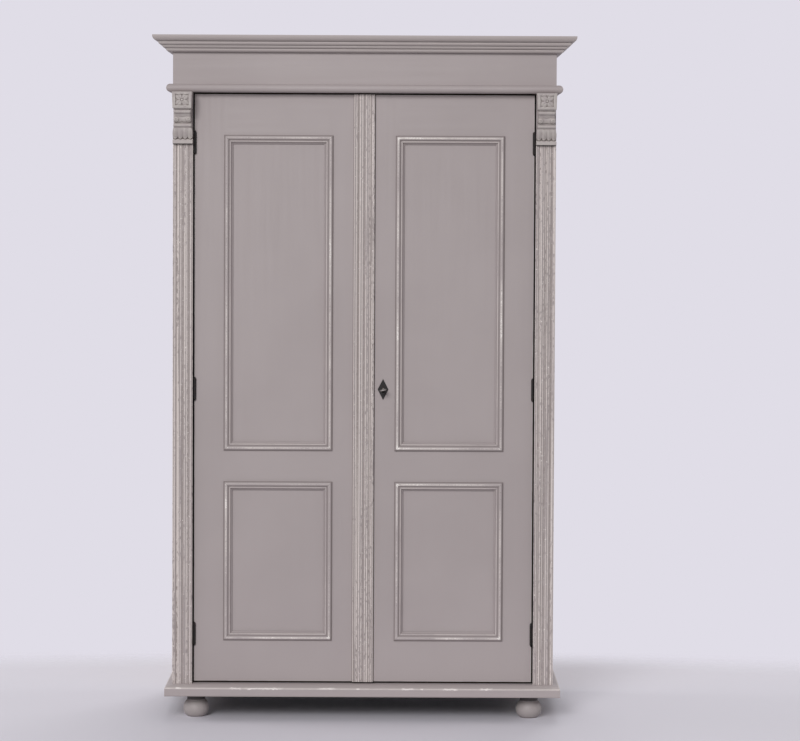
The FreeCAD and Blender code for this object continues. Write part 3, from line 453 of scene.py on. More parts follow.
def fluted_paint(name, node, middle, gap):
    """Paint rubbed back in lines, dashes and flecks on a fluted board, with painted shade in the flutes'
    hollows and, where a gap is beside it, painted shade in the gap and under the corbel.
    """
    graph = Surface(name)
    sound = paint_coat(graph, ALONG_Z)[0]
    low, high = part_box(node)
    half = (high.x - low.x) / 2
    across = graph.minus(graph.aside(), middle) if middle else graph.x
    flute = graph.math("PINGPONG", across, FLUTE_PITCH / 2)
    line = graph.noise(graph.place, LINE_SCALES, 1.0, 0.5)
    stain = graph.noise(graph.place, STAIN_SCALES, 1.0, 0.5)
    dash = graph.noise(graph.place, DASH_SCALES, 3.0, 0.6)
    run = graph.noise(graph.place, RUN_SCALES, 2.0)
    fleck = graph.noise(graph.place, FLECK_SCALES, 2.0, 0.6)
    whole = graph.ramp(graph.add(dash, graph.times(run, 0.6)), 0.64, 0.76)
    # Painted shade in the flutes' hollows; the lands get a duller, darker paint
    hollow = graph.fade(flute, HOLLOW_SHADE, 0.6)
    land = graph.past(flute, FLUTE_HALF, LAND_DULL, 0.45)
    shade_and_dull = graph.times(graph.most(hollow, land), graph.ramp(dash, 0.7, 0.5))
    arris = graph.near(flute, FLUTE_HALF, ARRIS_RUB)
    tone = graph.mix(graph.ramp(stain, 0.55, 0.62, 0.0, 0.6), sound, FLUTE_DARK)
    tone = graph.mix(shade_and_dull, tone, FLUTE_DARK)
    tone = graph.mix(graph.times(graph.ramp(line, 0.58, 0.62), whole, 0.8), tone, FLUTE_LIGHT)
    tone = graph.mix(graph.times(arris, graph.ramp(run, 0.36, 0.48), whole), tone, FLUTE_LIGHT)
    tone = graph.mix(graph.ramp(fleck, 0.66, 0.72, 0.0, 0.9), tone, PAINT_BARE)
    rim = graph.fade(graph.minus(half, graph.unsigned(across)), RIM_RUB)
    front = graph.past(graph.y, low.y, RIM_FRONT)
    tone = graph.mix(graph.times(rim, front, whole, 0.9), tone, FLUTE_LIGHT)
    tone = graph.mix(graph.past(graph.y, low.y, WORN_FRONT), sound, tone)
    if gap:
        # Painted shade on the pilaster's side in the gap by the door, and at its top under the corbel
        inner = graph.fade(graph.add(across, half), GAP_SIDE)
        deep = graph.past(graph.y, low.y, GAP_FRONT)
        tone = graph.mix(graph.times(inner, deep, 0.95), tone, GAP_SHADE_AND_JOINT)
        tone = graph.mix(graph.past(graph.z, high.z, CORBEL_SHADE, 0.8), tone, GAP_SHADE_AND_JOINT)
    return graph.finish(tone, line, LINE_DEPTH)


# Base: its arris, the wear there, the painted light on its top bevel, and the painted shade where the doors
# cover it; patches are middles and half lengths
BASE_ARRIS = 0.091
BASE_PATCHES = (
    (-0.525, 0.010),
    (-0.363, 0.020),
    (-0.282, 0.064),
    (-0.101, 0.030),
    (-0.012, 0.006),
    (0.130, 0.022),
    (0.170, 0.005),
    (0.251, 0.026),
    (0.354, 0.022),
)
BASE_LINE = (0.0028, 0.0008)
BEVEL_PAINTED_LIGHT = (0.0, 0.002)
CHIP_RAGGED = 0.012
CHIP_REACH = (0.0082, 0.0068)
BASE_BOTTOM_DARKENING = (0.003, 0.0)
UNDER_DOOR_SHADE = (-0.014, -0.008)
DOOR_END = (0.0, -0.002)
BEHIND_DOOR = (-0.001, 0.001)
CHIP_SCALES = (60.0, 260.0, 260.0)


def base_paint(name):
    """Paint on the base, rubbed and chipped along its arris, lighter on its top bevel as painted light,
    darker towards its bottom edge, with painted shade under the doors and pine inside.
    """
    graph = Surface(name)
    tone, brush = paint_coat(graph, ALONG_X)
    grit = graph.noise(graph.place, CHIP_SCALES, 4.0, 0.7)
    lift = graph.away(graph.z, BASE_ARRIS)
    line = graph.times(graph.fade(lift, BASE_LINE), graph.ramp(grit, 0.25, 0.6, 0.5, 0.95))
    tone = graph.mix(line, tone, PAINT_RUBBED_AND_LIT)
    # Painted light: the top bevel is made lighter, as where it faces the light
    tone = graph.mix(graph.past(graph.z, BASE_ARRIS, BEVEL_PAINTED_LIGHT, 0.25), tone, PAINT_THIN_AND_LIT)
    chipped = graph.fade(graph.add(lift, graph.times(grit, CHIP_RAGGED)), CHIP_REACH)
    tone = graph.mix(graph.times(patchwork(graph, BASE_PATCHES), chipped), tone, PAINT_BARE)
    # Darker towards the bottom edge of the front
    tone = graph.mix(graph.past(graph.z, BASE_FOOT, BASE_BOTTOM_DARKENING, 0.5), tone, PAINT_GRIME_AND_SHADE)
    # Painted shade on the top under the doors
    covered = graph.past(graph.y, DOOR_BACK, UNDER_DOOR_SHADE)
    between = graph.past(graph.aside(), DOOR_EDGE, DOOR_END)
    tone = graph.mix(graph.times(covered, between, 0.8), tone, GAP_SHADE_AND_JOINT)
    behind = graph.past(graph.y, DOOR_BACK, BEHIND_DOOR)
    inside = graph.times(behind, graph.past(graph.aside(), SIDE_INNER, TURN_INWARD))
    return graph.finish_both(inside, (tone, brush), pine_coat(graph, graph.place, ALONG_Y))


# Crown: heights of its quirks and reeds, and the wear, painted light and painted shade on them
CROWN_PAINTED_LIGHT = 0.3
CROWN_QUIRKS = (1.9326, 1.9218, 1.9133)
CROWN_CRESTS = (1.9302, 1.9198, 1.9112)
CROWN_PATCHES = ((-0.02, 0.14), (0.17, 0.06), (0.32, 0.025), (0.5, 0.02))
REED_WEAR_AND_HIGHLIGHT = (0.0022, 0.0006)
REED_SHADE = (0.0014, 0.0004)
REED_SCALES = (50.0, 240.0, 240.0)


def crown_paint(name):
    """Paint on the crown, lightened all over and along its reeds' crests as painted light, with painted
    shade in its quirks and a few rubbed patches on its reeds.
    """
    graph = Surface(name)
    tone, brush = paint_coat(graph, ALONG_X)
    # Painted light: the whole crown is made a little lighter
    tone = graph.mix(CROWN_PAINTED_LIGHT, tone, PAINT_THIN_AND_LIT)
    grit = graph.noise(graph.place, REED_SCALES, 4.0, 0.7)
    worn = graph.times(graph.ramp(grit, 0.45, 0.62), patchwork(graph, CROWN_PATCHES), 0.5)
    # Reeds' crests: a few rubbed patches, and an even lightening that is painted highlight
    for height in CROWN_CRESTS:
        crest = graph.near(graph.z, height, REED_WEAR_AND_HIGHLIGHT)
        tone = graph.mix(graph.times(crest, graph.add(worn, 0.5)), tone, PAINT_THIN_AND_LIT)
    # Painted shade in the quirks
    for height in CROWN_QUIRKS:
        tone = graph.mix(graph.near(graph.z, height, REED_SHADE, 0.2), tone, PAINT_GRIME_AND_SHADE)
    return graph.finish(tone, brush)


# Carving: scales of patches and grit
CARVED_PATCH_SCALE = 60.0
CARVED_GRIT_SCALE = 320.0


def carved_paint(name):
    """Paint on carving: painted shade in the hollows, and rubbed paint with painted highlight on the high
    points, from each point's stored relief.
    """
    graph = Surface(name)
    tone = paint_coat(graph, ALONG_Z)[0]
    relief = graph.node("ShaderNodeAttribute", attribute_name="relief").outputs["Fac"]
    patch = graph.noise(graph.place, CARVED_PATCH_SCALE, 3.0)
    grit = graph.noise(graph.place, CARVED_GRIT_SCALE, 4.0, 0.7)
    uneven = graph.add(relief, graph.times(graph.minus(grit, 0.5), 0.5))
    tone = graph.mix(graph.ramp(patch, 0.35, 0.65, 0.2, 0.8), tone, CORBEL_GREY)
    # Painted shade in the hollows
    tone = graph.mix(graph.ramp(uneven, -0.15, -0.75, 0.0, 0.65), tone, PAINT_GRIME_AND_SHADE)
    # Rubbed paint and painted highlight on the high points
    tone = graph.mix(graph.ramp(uneven, 0.2, 0.8, 0.0, 0.75), tone, PAINT_RUBBED_AND_LIT)
    return graph.finish(tone, grit, GRIT_DEPTH)


# Feet: height of the neck under the collar, painted shade there, and darkening at the floor
FOOT_NECK = 0.047
NECK_SHADE = (-0.001, 0.004)
SOLE_DARKENING = (0.005, 0.001)
FOOT_PATCH_SCALE = 40.0


def foot_paint(name):
    """Paint on the turned feet, greyer and rubbed, with painted shade under the collar and darker towards
    the floor.
    """
    graph = Surface(name)
    tone = paint_coat(graph, ALONG_X)[0]
    patch = graph.noise(graph.place, FOOT_PATCH_SCALE, 4.0, 0.6)
    tone = graph.mix(graph.ramp(patch, 0.4, 0.7, 0.4, 0.9), tone, FOOT_GREY)
    # Painted shade on the neck under the collar
    tone = graph.mix(graph.past(graph.z, FOOT_NECK, NECK_SHADE, 0.85), tone, GAP_SHADE_AND_JOINT)
    # Darker towards the floor
    tone = graph.mix(graph.fade(graph.z, SOLE_DARKENING, 0.7), tone, PAINT_GRIME_AND_SHADE)
    return graph.finish(tone, patch)


# Painted shade in the gaps round the doors, on the stops, the front stiles and the floor board
STOP_RAGGED = 0.004
STOP_SCALE = 90.0
STOP_SHADE = (0.013, 0.008)
STOP_FRONT = (0.006, 0.003)
JAMB_BARE = (0.010, 0.012)
JAMB_SHADE = (0.012, 0.008)
JAMB_FACE = (0.002, 0.0005)
FLOOR_SHADE_UNDER = (0.004, 0.001)
FLOOR_SHADE_FRONT = (-0.004, -0.008)


def stop_pine(name):
    """Pine door stops, with painted shade along the edge that shows through the gap round the doors."""
    graph = Surface(name)
    tone, relief = pine_coat(graph, graph.place, ALONG_X)
    low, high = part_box("door_stops")
    edge = graph.least(graph.within(graph.z, low.z, high.z), graph.minus(high.x, graph.aside()))
    ragged = graph.add(edge, graph.times(graph.noise(graph.place, STOP_SCALE), STOP_RAGGED))
    # Painted shade along the stops' front edges, where they show through the gap round the doors
    shaded = graph.times(graph.past(graph.y, low.y, STOP_FRONT), graph.fade(ragged, STOP_SHADE, 0.95))
    return graph.finish_pine(graph.mix(shaded, tone, DEEP_SHADE), relief)


def front_stile_paint(name):
    """Paint on the stiles behind the pilasters, with painted shade beside the doors' hanging edges, bare
    inside.
    """
    graph = Surface(name)
    tone, brush = paint_coat(graph, ALONG_Z)
    wood, grain = pine_coat(graph, graph.place, ALONG_Z)
    inside = graph.past(graph.y, DOOR_BACK, JAMB_BARE)
    inner = graph.past(graph.aside(), JAMB_INNER, JAMB_FACE)
    beside = graph.past(graph.y, DOOR_BACK, JAMB_SHADE)
    tone = graph.mix(inside, tone, wood)
    # Painted shade on the inner face beside the doors' hanging edges
    tone = graph.mix(graph.times(inner, beside, 0.9), tone, DEEP_SHADE)
    return graph.finish(tone, graph.mix(inside, brush, grain))


# Boards laid side by side: shift of the grain from board to board, joints and nails
BOARD_SHIFT = (3.71, 0.0, 5.13)
GLUED_JOINT = (0.0008, 0.0003)
BACK_COUNT = 10
BACK_JOINT = (0.0012, 0.0005)
BACK_OUTSIDE = (-0.001, -0.0005)
NAIL_ROWS = (0.114, 0.945, 1.776)
NAIL_INSET = 0.026
NAIL_HEAD = (0.0032, 0.0025)


def side_by_side(graph, across, low, pitch):
    """For boards side by side: a point's place in its own timber, its board's shade, its way to a joint."""
    reach = graph.minus(across, low)
    index = graph.math("FLOOR", graph.math("DIVIDE", reach, pitch))
    shift = graph.stretched(index, BOARD_SHIFT)
    moved = graph.node("ShaderNodeVectorMath", {0: graph.place, 1: shift}, operation="ADD").outputs[0]
    shade = graph.node("ShaderNodeTexWhiteNoise", {"W": index}, noise_dimensions="1D").outputs["Value"]
    return moved, shade, graph.math("PINGPONG", reach, pitch / 2)


def joined_pine(name, node, count, shaded):
    """Wide board glued up from a count of pine boards, with painted shade in front and underneath when it
    is the floor.
    """
    graph = Surface(name)
    low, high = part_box(node)
    moved, shade, joint = side_by_side(graph, graph.y, low.y, (high.y - low.y) / count)
    tone, relief = pine_coat(graph, moved, ALONG_X)
    tone = graph.mix(graph.times(shade, 0.3), tone, PINE_AGED)
    tone = graph.mix(graph.fade(joint, GLUED_JOINT, 0.7), tone, PINE_KNOT)
    if shaded:
        # Painted shade under the floor board and on its front, where it shows in the gap under the doors
        under = graph.past(graph.z, low.z, FLOOR_SHADE_UNDER)
        front = graph.past(graph.y, DOOR_BACK, FLOOR_SHADE_FRONT)
        tone = graph.mix(graph.most(under, front), tone, DEEP_SHADE)
    return graph.finish_pine(tone, relief)


def boarded_pine(name):
    """Pine back boards, each with its own grain and shade, with dark joints and nail heads behind."""
    graph = Surface(name)
    low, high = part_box("back_boards")
    moved, shade, joint = side_by_side(graph, graph.x, low.x, (high.x - low.x) / BACK_COUNT)
    tone, relief = pine_coat(graph, moved, ALONG_Z)
    outside = graph.past(graph.y, high.y, BACK_OUTSIDE)
    aged = graph.add(graph.times(shade, 0.35), graph.times(outside, 0.3))
    tone = graph.mix(aged, tone, PINE_AGED)
    tone = graph.mix(graph.fade(joint, BACK_JOINT), tone, GAP_SHADE_AND_JOINT)
    row = graph.least(*[graph.away(graph.z, height) for height in NAIL_ROWS])
    beside = graph.away(joint, NAIL_INSET)
    far = graph.math("SQRT", graph.add(graph.times(row, row), graph.times(beside, beside)))
    tone = graph.mix(graph.times(graph.fade(far, NAIL_HEAD), outside), tone, IRON)
    return graph.finish_pine(tone, relief)


# Metal: blotches of rust, and their relief
RUST_SCALE = 140.0
RUST_LIMITS = (0.45, 0.7)
RUST_RANGE = (0.3, 0.7)
RUST_DEPTH = 0.0003
RUST_STRENGTH = 0.4


def metal(name, base, metallic, roughness):
    """Metal with blotches of dark rust."""
    graph = Surface(name)
    blotch = graph.noise(graph.place, RUST_SCALE, 5.0, 0.65)
    tone = graph.mix(graph.fade(blotch, RUST_LIMITS), base, IRON_RUST)
    rough = graph.ramp(blotch, *RUST_RANGE, *roughness)
    normal = graph.bump(blotch, RUST_DEPTH, RUST_STRENGTH)
    return graph.dress({"Base Color": tone, "Roughness": rough, "Normal": normal, "Metallic": metallic})


# Materials of the nodes: by name, or else by the record's material slot
def both(*names):
    """Names of the nodes on the left and on the right."""
    return [f"{side}_{name}" for side in ("left", "right") for name in names]


COATS = (
    (plain_paint("paint_level", ALONG_X), ["bead_front", "bead_returns", "frieze_front"]),
    (side_paint("paint_side"), both("side")),
    (front_stile_paint("paint_front_stile"), both("front_stile")),
    (door_paint("paint_stile", ALONG_Z), both("hinge_stile", "meeting_stile")),
    (door_paint("paint_rail", ALONG_X), both("bottom_rail", "middle_rail", "top_rail")),
    (panel_paint("paint_panel"), both("lower_panel", "upper_panel")),
    (moulding_paint("paint_moulding"), both("door_mouldings")),
    (fluted_paint("paint_pilaster", "right_pilaster", PILASTER_MIDDLE, True), both("pilaster")),
    (fluted_paint("paint_strip", "closing_strip", 0.0, False), ["closing_strip"]),
    (base_paint("paint_base"), ["base_moulding_front", "base_moulding_returns"]),
    (crown_paint("paint_crown"), ["crown_front", "crown_returns"]),
    (foot_paint("paint_foot"), [f"{end}_{foot}" for end in ("front", "rear") for foot in both("foot")]),
    (pine("pine_level", ALONG_X), ["hanging_rail", "sole_board", "frieze_back"]),
    (pine("pine_deep", ALONG_Y), ["shelf_cleats"]),
    (stop_pine("pine_stops"), ["door_stops"]),
    (joined_pine("pine_bottom", "floor_board", 4, True), ["floor_board"]),
    (joined_pine("pine_cover", "top_board", 4, False), ["top_board"]),
    (joined_pine("pine_shelf", "hat_shelf", 3, False), ["hat_shelf"]),
    (boarded_pine("pine_back"), ["back_boards"]),
)
corbel_paint = carved_paint("paint_carved")
iron = metal("black_iron", IRON, IRON_METALLIC, IRON_ROUGHNESS)
BY_SLOT = {
    "painted_wood": plain_paint("paint_upright", ALONG_Z),
    "pine": pine("pine_upright", ALONG_Z),
    "iron": iron,
    "key_steel": metal("key_steel", STEEL, STEEL_METALLIC, STEEL_ROUGHNESS),
}
coat_of = {name: coat for coat, names in COATS for name in names}
slot_of = {part["node"]: part.get("material_slot") for part in frame["record"]["subparts"]}
for name, node in frame["nodes"].items():
    coat = coat_of.get(name) or BY_SLOT[slot_of[name]]
    for slot in node.material_slots:
        slot.material = coat


# Added pieces
def add_piece(name, mesh, material, body):
    """Makes a mesh a piece with one material, riding on a body."""
    mesh.materials.append(material)
    piece = bpy.data.objects.new(name, mesh)
    scene.collection.objects.link(piece)
    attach(piece, body)
    return piece


def smooth(share):
    """Smooth step from 0 to 1."""
    share = min(1.0, max(0.0, share))
    return share * share * (3.0 - 2.0 * share)


def bell(offset, width):
    """1 in the middle, falling off smoothly on both sides."""
    return math.exp(-((offset / width) ** 2))


def cap(share):
    """Height of a round cap of 1, from its middle at 0 to its rim at 1."""
    return math.sqrt(max(0.0, 1.0 - share * share))


# Carved corbels: heights, half widths and depths in millimetres, from the foot and from the back
MILLIMETRES = 1000.0
FILLET_TOP = 10.5
LEAF_FOOT = 12.0
LEAF_TOP = 44.0
LIP_FOOT = 45.5
LIP_TOP = 57.0
SCROLL_FOOT = 60.0
SCROLL_TOP = 76.0
CUSHION_FOOT = 84.0
CUSHION_TOP = 96.0
BLOCK_FOOT = 99.0
CORBEL_TOP = 146.0
BLOCK_DEPTH = 62.0
HALF_WIDTHS = (
    (0.0, 28.5),
    (FILLET_TOP, 28.5),
    (LEAF_FOOT, 28.0),
    (30.0, 28.5),
    (LEAF_TOP, 26.4),
    (LIP_FOOT, 25.6),
    (51.0, 26.6),
    (LIP_TOP, 25.4),
    (SCROLL_FOOT, 24.6),
    (68.0, 25.8),
    (SCROLL_TOP, 24.0),
    (CUSHION_FOOT, 24.0),
    (90.0, 25.2),
    (CUSHION_TOP, 24.8),
    (98.8, 24.8),
    (BLOCK_FOOT, 26.8),
    (125.0, 27.6),
    (CORBEL_TOP, 28.5),
)


# Forms that the depth follows over the share of a band's height
FULLNESS = 0.7
ROLL_TURN = 0.75 * math.pi


def straight(share):
    return share


def quarter_round(share):
    return math.sin(math.pi / 2 * share)


def half_round(share):
    return math.sin(math.pi * share) ** FULLNESS


def rolled(share):
    """A half round that is cut off before it comes back to the face."""
    return math.sin(ROLL_TURN * share) ** FULLNESS


# Bands from the foot up: top height, least depth, swell and the form of the swell
CORBEL_BANDS = (
    (FILLET_TOP, 34.0, 0.0, straight),
    (LEAF_FOOT, 25.0, 0.0, straight),
    (LEAF_TOP, 27.0, 11.0, quarter_round),
    (LIP_FOOT, 37.0, 0.0, straight),
    (LIP_TOP, 38.0, 5.5, half_round),
    (SCROLL_FOOT, 35.0, 0.0, straight),
    (SCROLL_TOP, 40.0, 4.5, rolled),
    (CUSHION_FOOT, 43.5, 4.5, straight),
    (CUSHION_TOP, 49.5, 5.0, half_round),
    (BLOCK_FOOT, 55.5, 0.0, straight),
    (CORBEL_TOP, BLOCK_DEPTH, 0.0, straight),
)

# Rounded side edges
WAIST_EDGE = 5.0
BLOCK_EDGE = 1.4

# Rosette: sunk panel, boss with a ring round it, petals and their veins
ROSETTE_HEIGHT = 123.0
PANEL_HALF_WIDTH = 19.5
PANEL_HALF_HEIGHT = 16.5
PANEL_DEPTH = 3.4
PANEL_SLOPE = 1.8
BOSS_RADIUS = 3.6
BOSS_RISE = 1.8
BOSS_DOME = 1.6
RING_WIDTH = 1.0
RING_RISE = 1.3
PETAL_GAP = 9.0
PETAL_LENGTH = 14.0
PETAL_POINT = 0.7
PETAL_RISE = 3.4
VEIN_DEPTH = 0.9
VEIN_WIDTH = 0.9
VEIN_END = 3.0

# Volutes: their place beside the middle and up, their spiral and the dip between them
VOLUTE_PLACE = (18.0, 68.0)
VOLUTE_RADIUS = 8.0
VOLUTE_PITCH = 3.8
VOLUTE_DOME = 4.0
SPIRAL_DEPTH = 1.8
SPIRAL_WIDTH = 0.17
DIP_DEPTH = 2.2
DIP_WIDTH = 9.0
DIP_SLOPE = 2.0

# Leaf: lobes with ribs and scalloped tips
LOBE_PITCH = 14.0
LOBE_OVERLAP = 0.4
LOBE_SWELL = 2.1
LOBE_SINK = 1.3
RIB_RISE = 0.9
RIB_WIDTH = 1.4
TIP_LIFT = 0.5
TIP_SCALLOP = 7.0
TIP_STEP = 3.5
LEAF_SOFT = 0.4
LEAF_SOFT_HEIGHT = 14.0


def half_width(height):
    """Half width of the corbel, straight between the heights that have one."""
    for (low, first), (high, second) in zip(HALF_WIDTHS, HALF_WIDTHS[1:]):
        if height <= high:
            return first + (second - first) * (height - low) / (high - low)
    return HALF_WIDTHS[-1][1]


def corbel_depth(height):
    """Depth of the corbel before carving."""
    foot = 0.0
    for top, depth, swell, form in CORBEL_BANDS:
        if height < top:
            return depth + swell * form((height - foot) / (top - foot))
        foot = top
    return BLOCK_DEPTH


def worn_edge(across, height):
    """Drop of the front towards its rounded side edges, rounder at the waist than on the block."""
    radius = WAIST_EDGE if LEAF_TOP < height < BLOCK_FOOT else BLOCK_EDGE
    inset = max(0.0, abs(across) - half_width(height) + radius) / radius
    return radius * (cap(inset) - 1.0)


def rosette(across, up):
    """Sunk panel with four petals on its diagonals round a boss."""
    edge = min(PANEL_HALF_WIDTH - abs(across), PANEL_HALF_HEIGHT - abs(up))
    sunk = -PANEL_DEPTH * smooth(edge / PANEL_SLOPE)
    reach = math.hypot(across, up)
    limit = PETAL_GAP + PETAL_LENGTH * abs(math.sin(2.0 * math.atan2(up, across))) ** PETAL_POINT
    if reach < BOSS_RADIUS:
        return sunk + BOSS_RISE + BOSS_DOME * cap(reach / BOSS_RADIUS)
    if reach > limit:
        return sunk
    if reach < BOSS_RADIUS + RING_WIDTH:
        return sunk + RING_RISE
    vein = bell(abs(abs(across) - abs(up)) / math.sqrt(2.0), VEIN_WIDTH)
    petal = PETAL_RISE * cap(reach / limit)
    return sunk + petal - VEIN_DEPTH * vein * smooth((limit - reach) / VEIN_END)


def volutes(across, height):
    """Two scrolled ears with a dip between them."""
    aside = abs(across) - VOLUTE_PLACE[0]
    above = height - VOLUTE_PLACE[1]
    reach = math.hypot(aside, above)
    if reach >= VOLUTE_RADIUS:
        return -DIP_DEPTH * smooth((reach - VOLUTE_RADIUS) / DIP_SLOPE) * bell(across, DIP_WIDTH)
    turn = math.atan2(above, aside) / (2.0 * math.pi)
    groove = (reach / VOLUTE_PITCH - turn) % 1.0
    dome = VOLUTE_DOME * cap(reach / VOLUTE_RADIUS)
    return dome - SPIRAL_DEPTH * bell(groove - 0.5, SPIRAL_WIDTH)


def leaf(across, height):
    """Four lobes with a raised rib each and scalloped tips, softer towards the rolled lip."""
    lobe = (across + 2.0 * LOBE_PITCH) % LOBE_PITCH - LOBE_PITCH / 2
    tip = LEAF_FOOT + TIP_LIFT + TIP_SCALLOP * (2.0 * lobe / LOBE_PITCH) ** 2
    if height < tip:
        return -TIP_STEP
    soften = LEAF_SOFT + (1.0 - LEAF_SOFT) * smooth((LEAF_TOP - height) / LEAF_SOFT_HEIGHT)
    swell = LOBE_SWELL * cap(2.0 * lobe / (LOBE_PITCH + LOBE_OVERLAP)) - LOBE_SINK
    return soften * (swell + RIB_RISE * bell(lobe, RIB_WIDTH))


def carving(across, height):
    """How far the carving stands out from the corbel's face, or below 0, how far it is cut in."""
    if height >= BLOCK_FOOT:
        return rosette(across, height - ROSETTE_HEIGHT)
    if SCROLL_FOOT <= height < SCROLL_TOP:
        return volutes(across, height)
    if LEAF_FOOT <= height < LEAF_TOP:
        return leaf(across, height)
    return 0.0


# Mesh of the corbels, and the relief that their paint follows
CORBEL_ROWS = 208
CORBEL_COLUMNS = 80
SHARP_ANGLE = math.radians(50.0)
RELIEF_REACH = 5
RELIEF_FULL = 1.6
# Bands of the carving made lighter, as wear and as painted highlight
LIT_RUBBED_BANDS = ((0.0, FILLET_TOP), (LIP_FOOT, LIP_TOP), (CUSHION_FOOT, CUSHION_TOP))
LIT_RUBBED_INSET = 1.5
LIT_RUBBED_RELIEF = 0.36


def rubbed(height):
    """Extra wear and painted highlight on the plain mouldings that stand out, a little way in from their
    edges.
    """
    inside = [low + LIT_RUBBED_INSET < height < high - LIT_RUBBED_INSET for low, high in LIT_RUBBED_BANDS]
    return LIT_RUBBED_RELIEF if any(inside) else 0.0


def averaged(values, reach):
    """Running mean of a list, with a shorter window at its ends."""
    made = []
    for index in range(len(values)):
        window = values[max(0, index - reach):index + reach + 1]
        made.append(sum(window) / len(window))
    return made


def corbel_grid():
    """Rows of places across the carved face, with each one's depth and its rise over what surrounds it."""
    heights = [CORBEL_TOP * row / CORBEL_ROWS for row in range(CORBEL_ROWS + 1)]
    shares = [2.0 * column / CORBEL_COLUMNS - 1.0 for column in range(CORBEL_COLUMNS + 1)]
    places = [[(share * half_width(height), height) for share in shares] for height in heights]
    carved = [[carving(*place) for place in row] for row in places]
    level = [averaged(row, RELIEF_REACH) for row in carved]
    level = zip(*[averaged(list(column), RELIEF_REACH) for column in zip(*level)])
    depths = []
    relief = []
    for row, height, cuts, means in zip(places, heights, carved, level):
        face = corbel_depth(height)
        depths.append([face + worn_edge(*place) + cut for place, cut in zip(row, cuts)])
        relief.append([(cut - mean) / RELIEF_FULL + rubbed(height) for cut, mean in zip(cuts, means)])
    return places, depths, relief


def carved_corbel(name, node, grid):
    """Closed corbel with a carved face, in place of its plain node."""
    low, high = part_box(node)
    middle = (low.x + high.x) / 2
    points = []
    reliefs = []
    for places, depths, relief in zip(*grid):
        ends = [(places[-1], 0.0), (places[0], 0.0)]
        for (across, height), depth in [*zip(places, depths), *ends]:
            aside = middle + across / MILLIMETRES
            points.append((aside, high.y - depth / MILLIMETRES, low.z + height / MILLIMETRES))
        reliefs += relief + [0.0] * len(ends)
    ring = len(points) // (CORBEL_ROWS + 1)
    faces = []
    for row in range(CORBEL_ROWS):
        start = row * ring
        for step in range(ring):
            after = (step + 1) % ring
            faces.append([start + step, start + after, start + ring + after, start + ring + step])
    faces.append(list(range(ring)))
    faces.append(list(range(CORBEL_ROWS * ring, (CORBEL_ROWS + 1) * ring)))
    mesh = bpy.data.meshes.new(name)
    mesh.from_pydata(points, [], faces)
    stored = mesh.attributes.new("relief", "FLOAT", "POINT")
    stored.data.foreach_set("value", reliefs)
    work = bmesh.new()
    work.from_mesh(mesh)
    bmesh.ops.recalc_face_normals(work, faces=work.faces)
    work.to_mesh(mesh)
    work.free()
    mesh.set_sharp_from_angle(angle=SHARP_ANGLE)
    piece = add_piece(name, mesh, corbel_paint, "carcass")
    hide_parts(node)


corbel_shape = corbel_grid()
carved_corbel("carved_left_corbel", "left_corbel", corbel_shape)
carved_corbel("carved_right_corbel", "right_corbel", corbel_shape)


# Slotted screw heads and pins
ARC_STEPS = 14
SLOT_SHARE = 0.14
RIM_SHARE = 0.5
CHAMFER_SHARE = 0.88
HEAD_SUNK = 0.0001
SLOT_LIFT = 0.00004


def half_moon(work, turned, radius, rise, side):
    """One half of a slotted head, chamfered at the rim."""
    slot_half = radius * SLOT_SHARE
    start = math.asin(SLOT_SHARE)
    angles = [start + (math.pi - 2.0 * start) * step / ARC_STEPS for step in range(ARC_STEPS + 1)]
    loops = []
    for share, height in ((1.0, -HEAD_SUNK), (1.0, rise * RIM_SHARE), (CHAMFER_SHARE, rise)):
        loop = []
        for angle in angles:
            across = radius * share * math.cos(angle)
            along = max(slot_half, radius * share * math.sin(angle))
            loop.append(work.verts.new(turned @ Vector((side * across, side * along, height))))
        loops.append(loop)
    for lower, upper in zip(loops, loops[1:]):
        for step in range(ARC_STEPS + 1):
            after = (step + 1) % (ARC_STEPS + 1)
            work.faces.new((lower[step], lower[after], upper[after], upper[step]))
    work.faces.new(loops[-1])


def slot_floor(work, turned, radius):
    """Round floor under a head's slot, just clear of the plate."""
    rim = []
    for step in range(2 * ARC_STEPS):
        angle = math.pi * step / ARC_STEPS
        point = Vector((radius * math.cos(angle), radius * math.sin(angle), SLOT_LIFT))
        rim.append(work.verts.new(turned @ point))
    work.faces.new(rim)


def screws(name, body, heads):
    """Screw heads in one piece. A head is its place, the way it faces, its size and its slot's angle."""
    work = bmesh.new()
    for place, facing, (radius, rise), turn in heads:
        turned = Matrix.Translation(place) @ Vector(facing).to_track_quat("Z", "Y").to_matrix().to_4x4()
        turned = turned @ Matrix.Rotation(math.radians(turn), 4, "Z")
        slot_floor(work, turned, radius)
        for side in (1, -1):
            half_moon(work, turned, radius, rise, side)
    bmesh.ops.recalc_face_normals(work, faces=work.faces)
    mesh = bpy.data.meshes.new(name)
    work.to_mesh(mesh)
    work.free()
    add_piece(name, mesh, iron, body)


# Sizes of the heads: radius and rise
HINGE_HEAD = (0.0031, 0.00016)
LOCK_HEAD = (0.0034, 0.0004)
KEEP_HEAD = (0.0028, 0.0003)
GUIDE_HEAD = (0.0016, 0.0003)
PIN_HEAD = (0.0013, 0.0003)

# Degrees that slots turn from place to place: a step or metre across, and a metre up
HINGE_TURNS = (37.0, 400.0)
LOCK_TURNS = (900.0, 70.0)
KEEP_TURNS = (0.0, 510.0)
GUIDE_TURNS = (2000.0, 330.0)
PIN_TURNS = (0.0, 800.0)

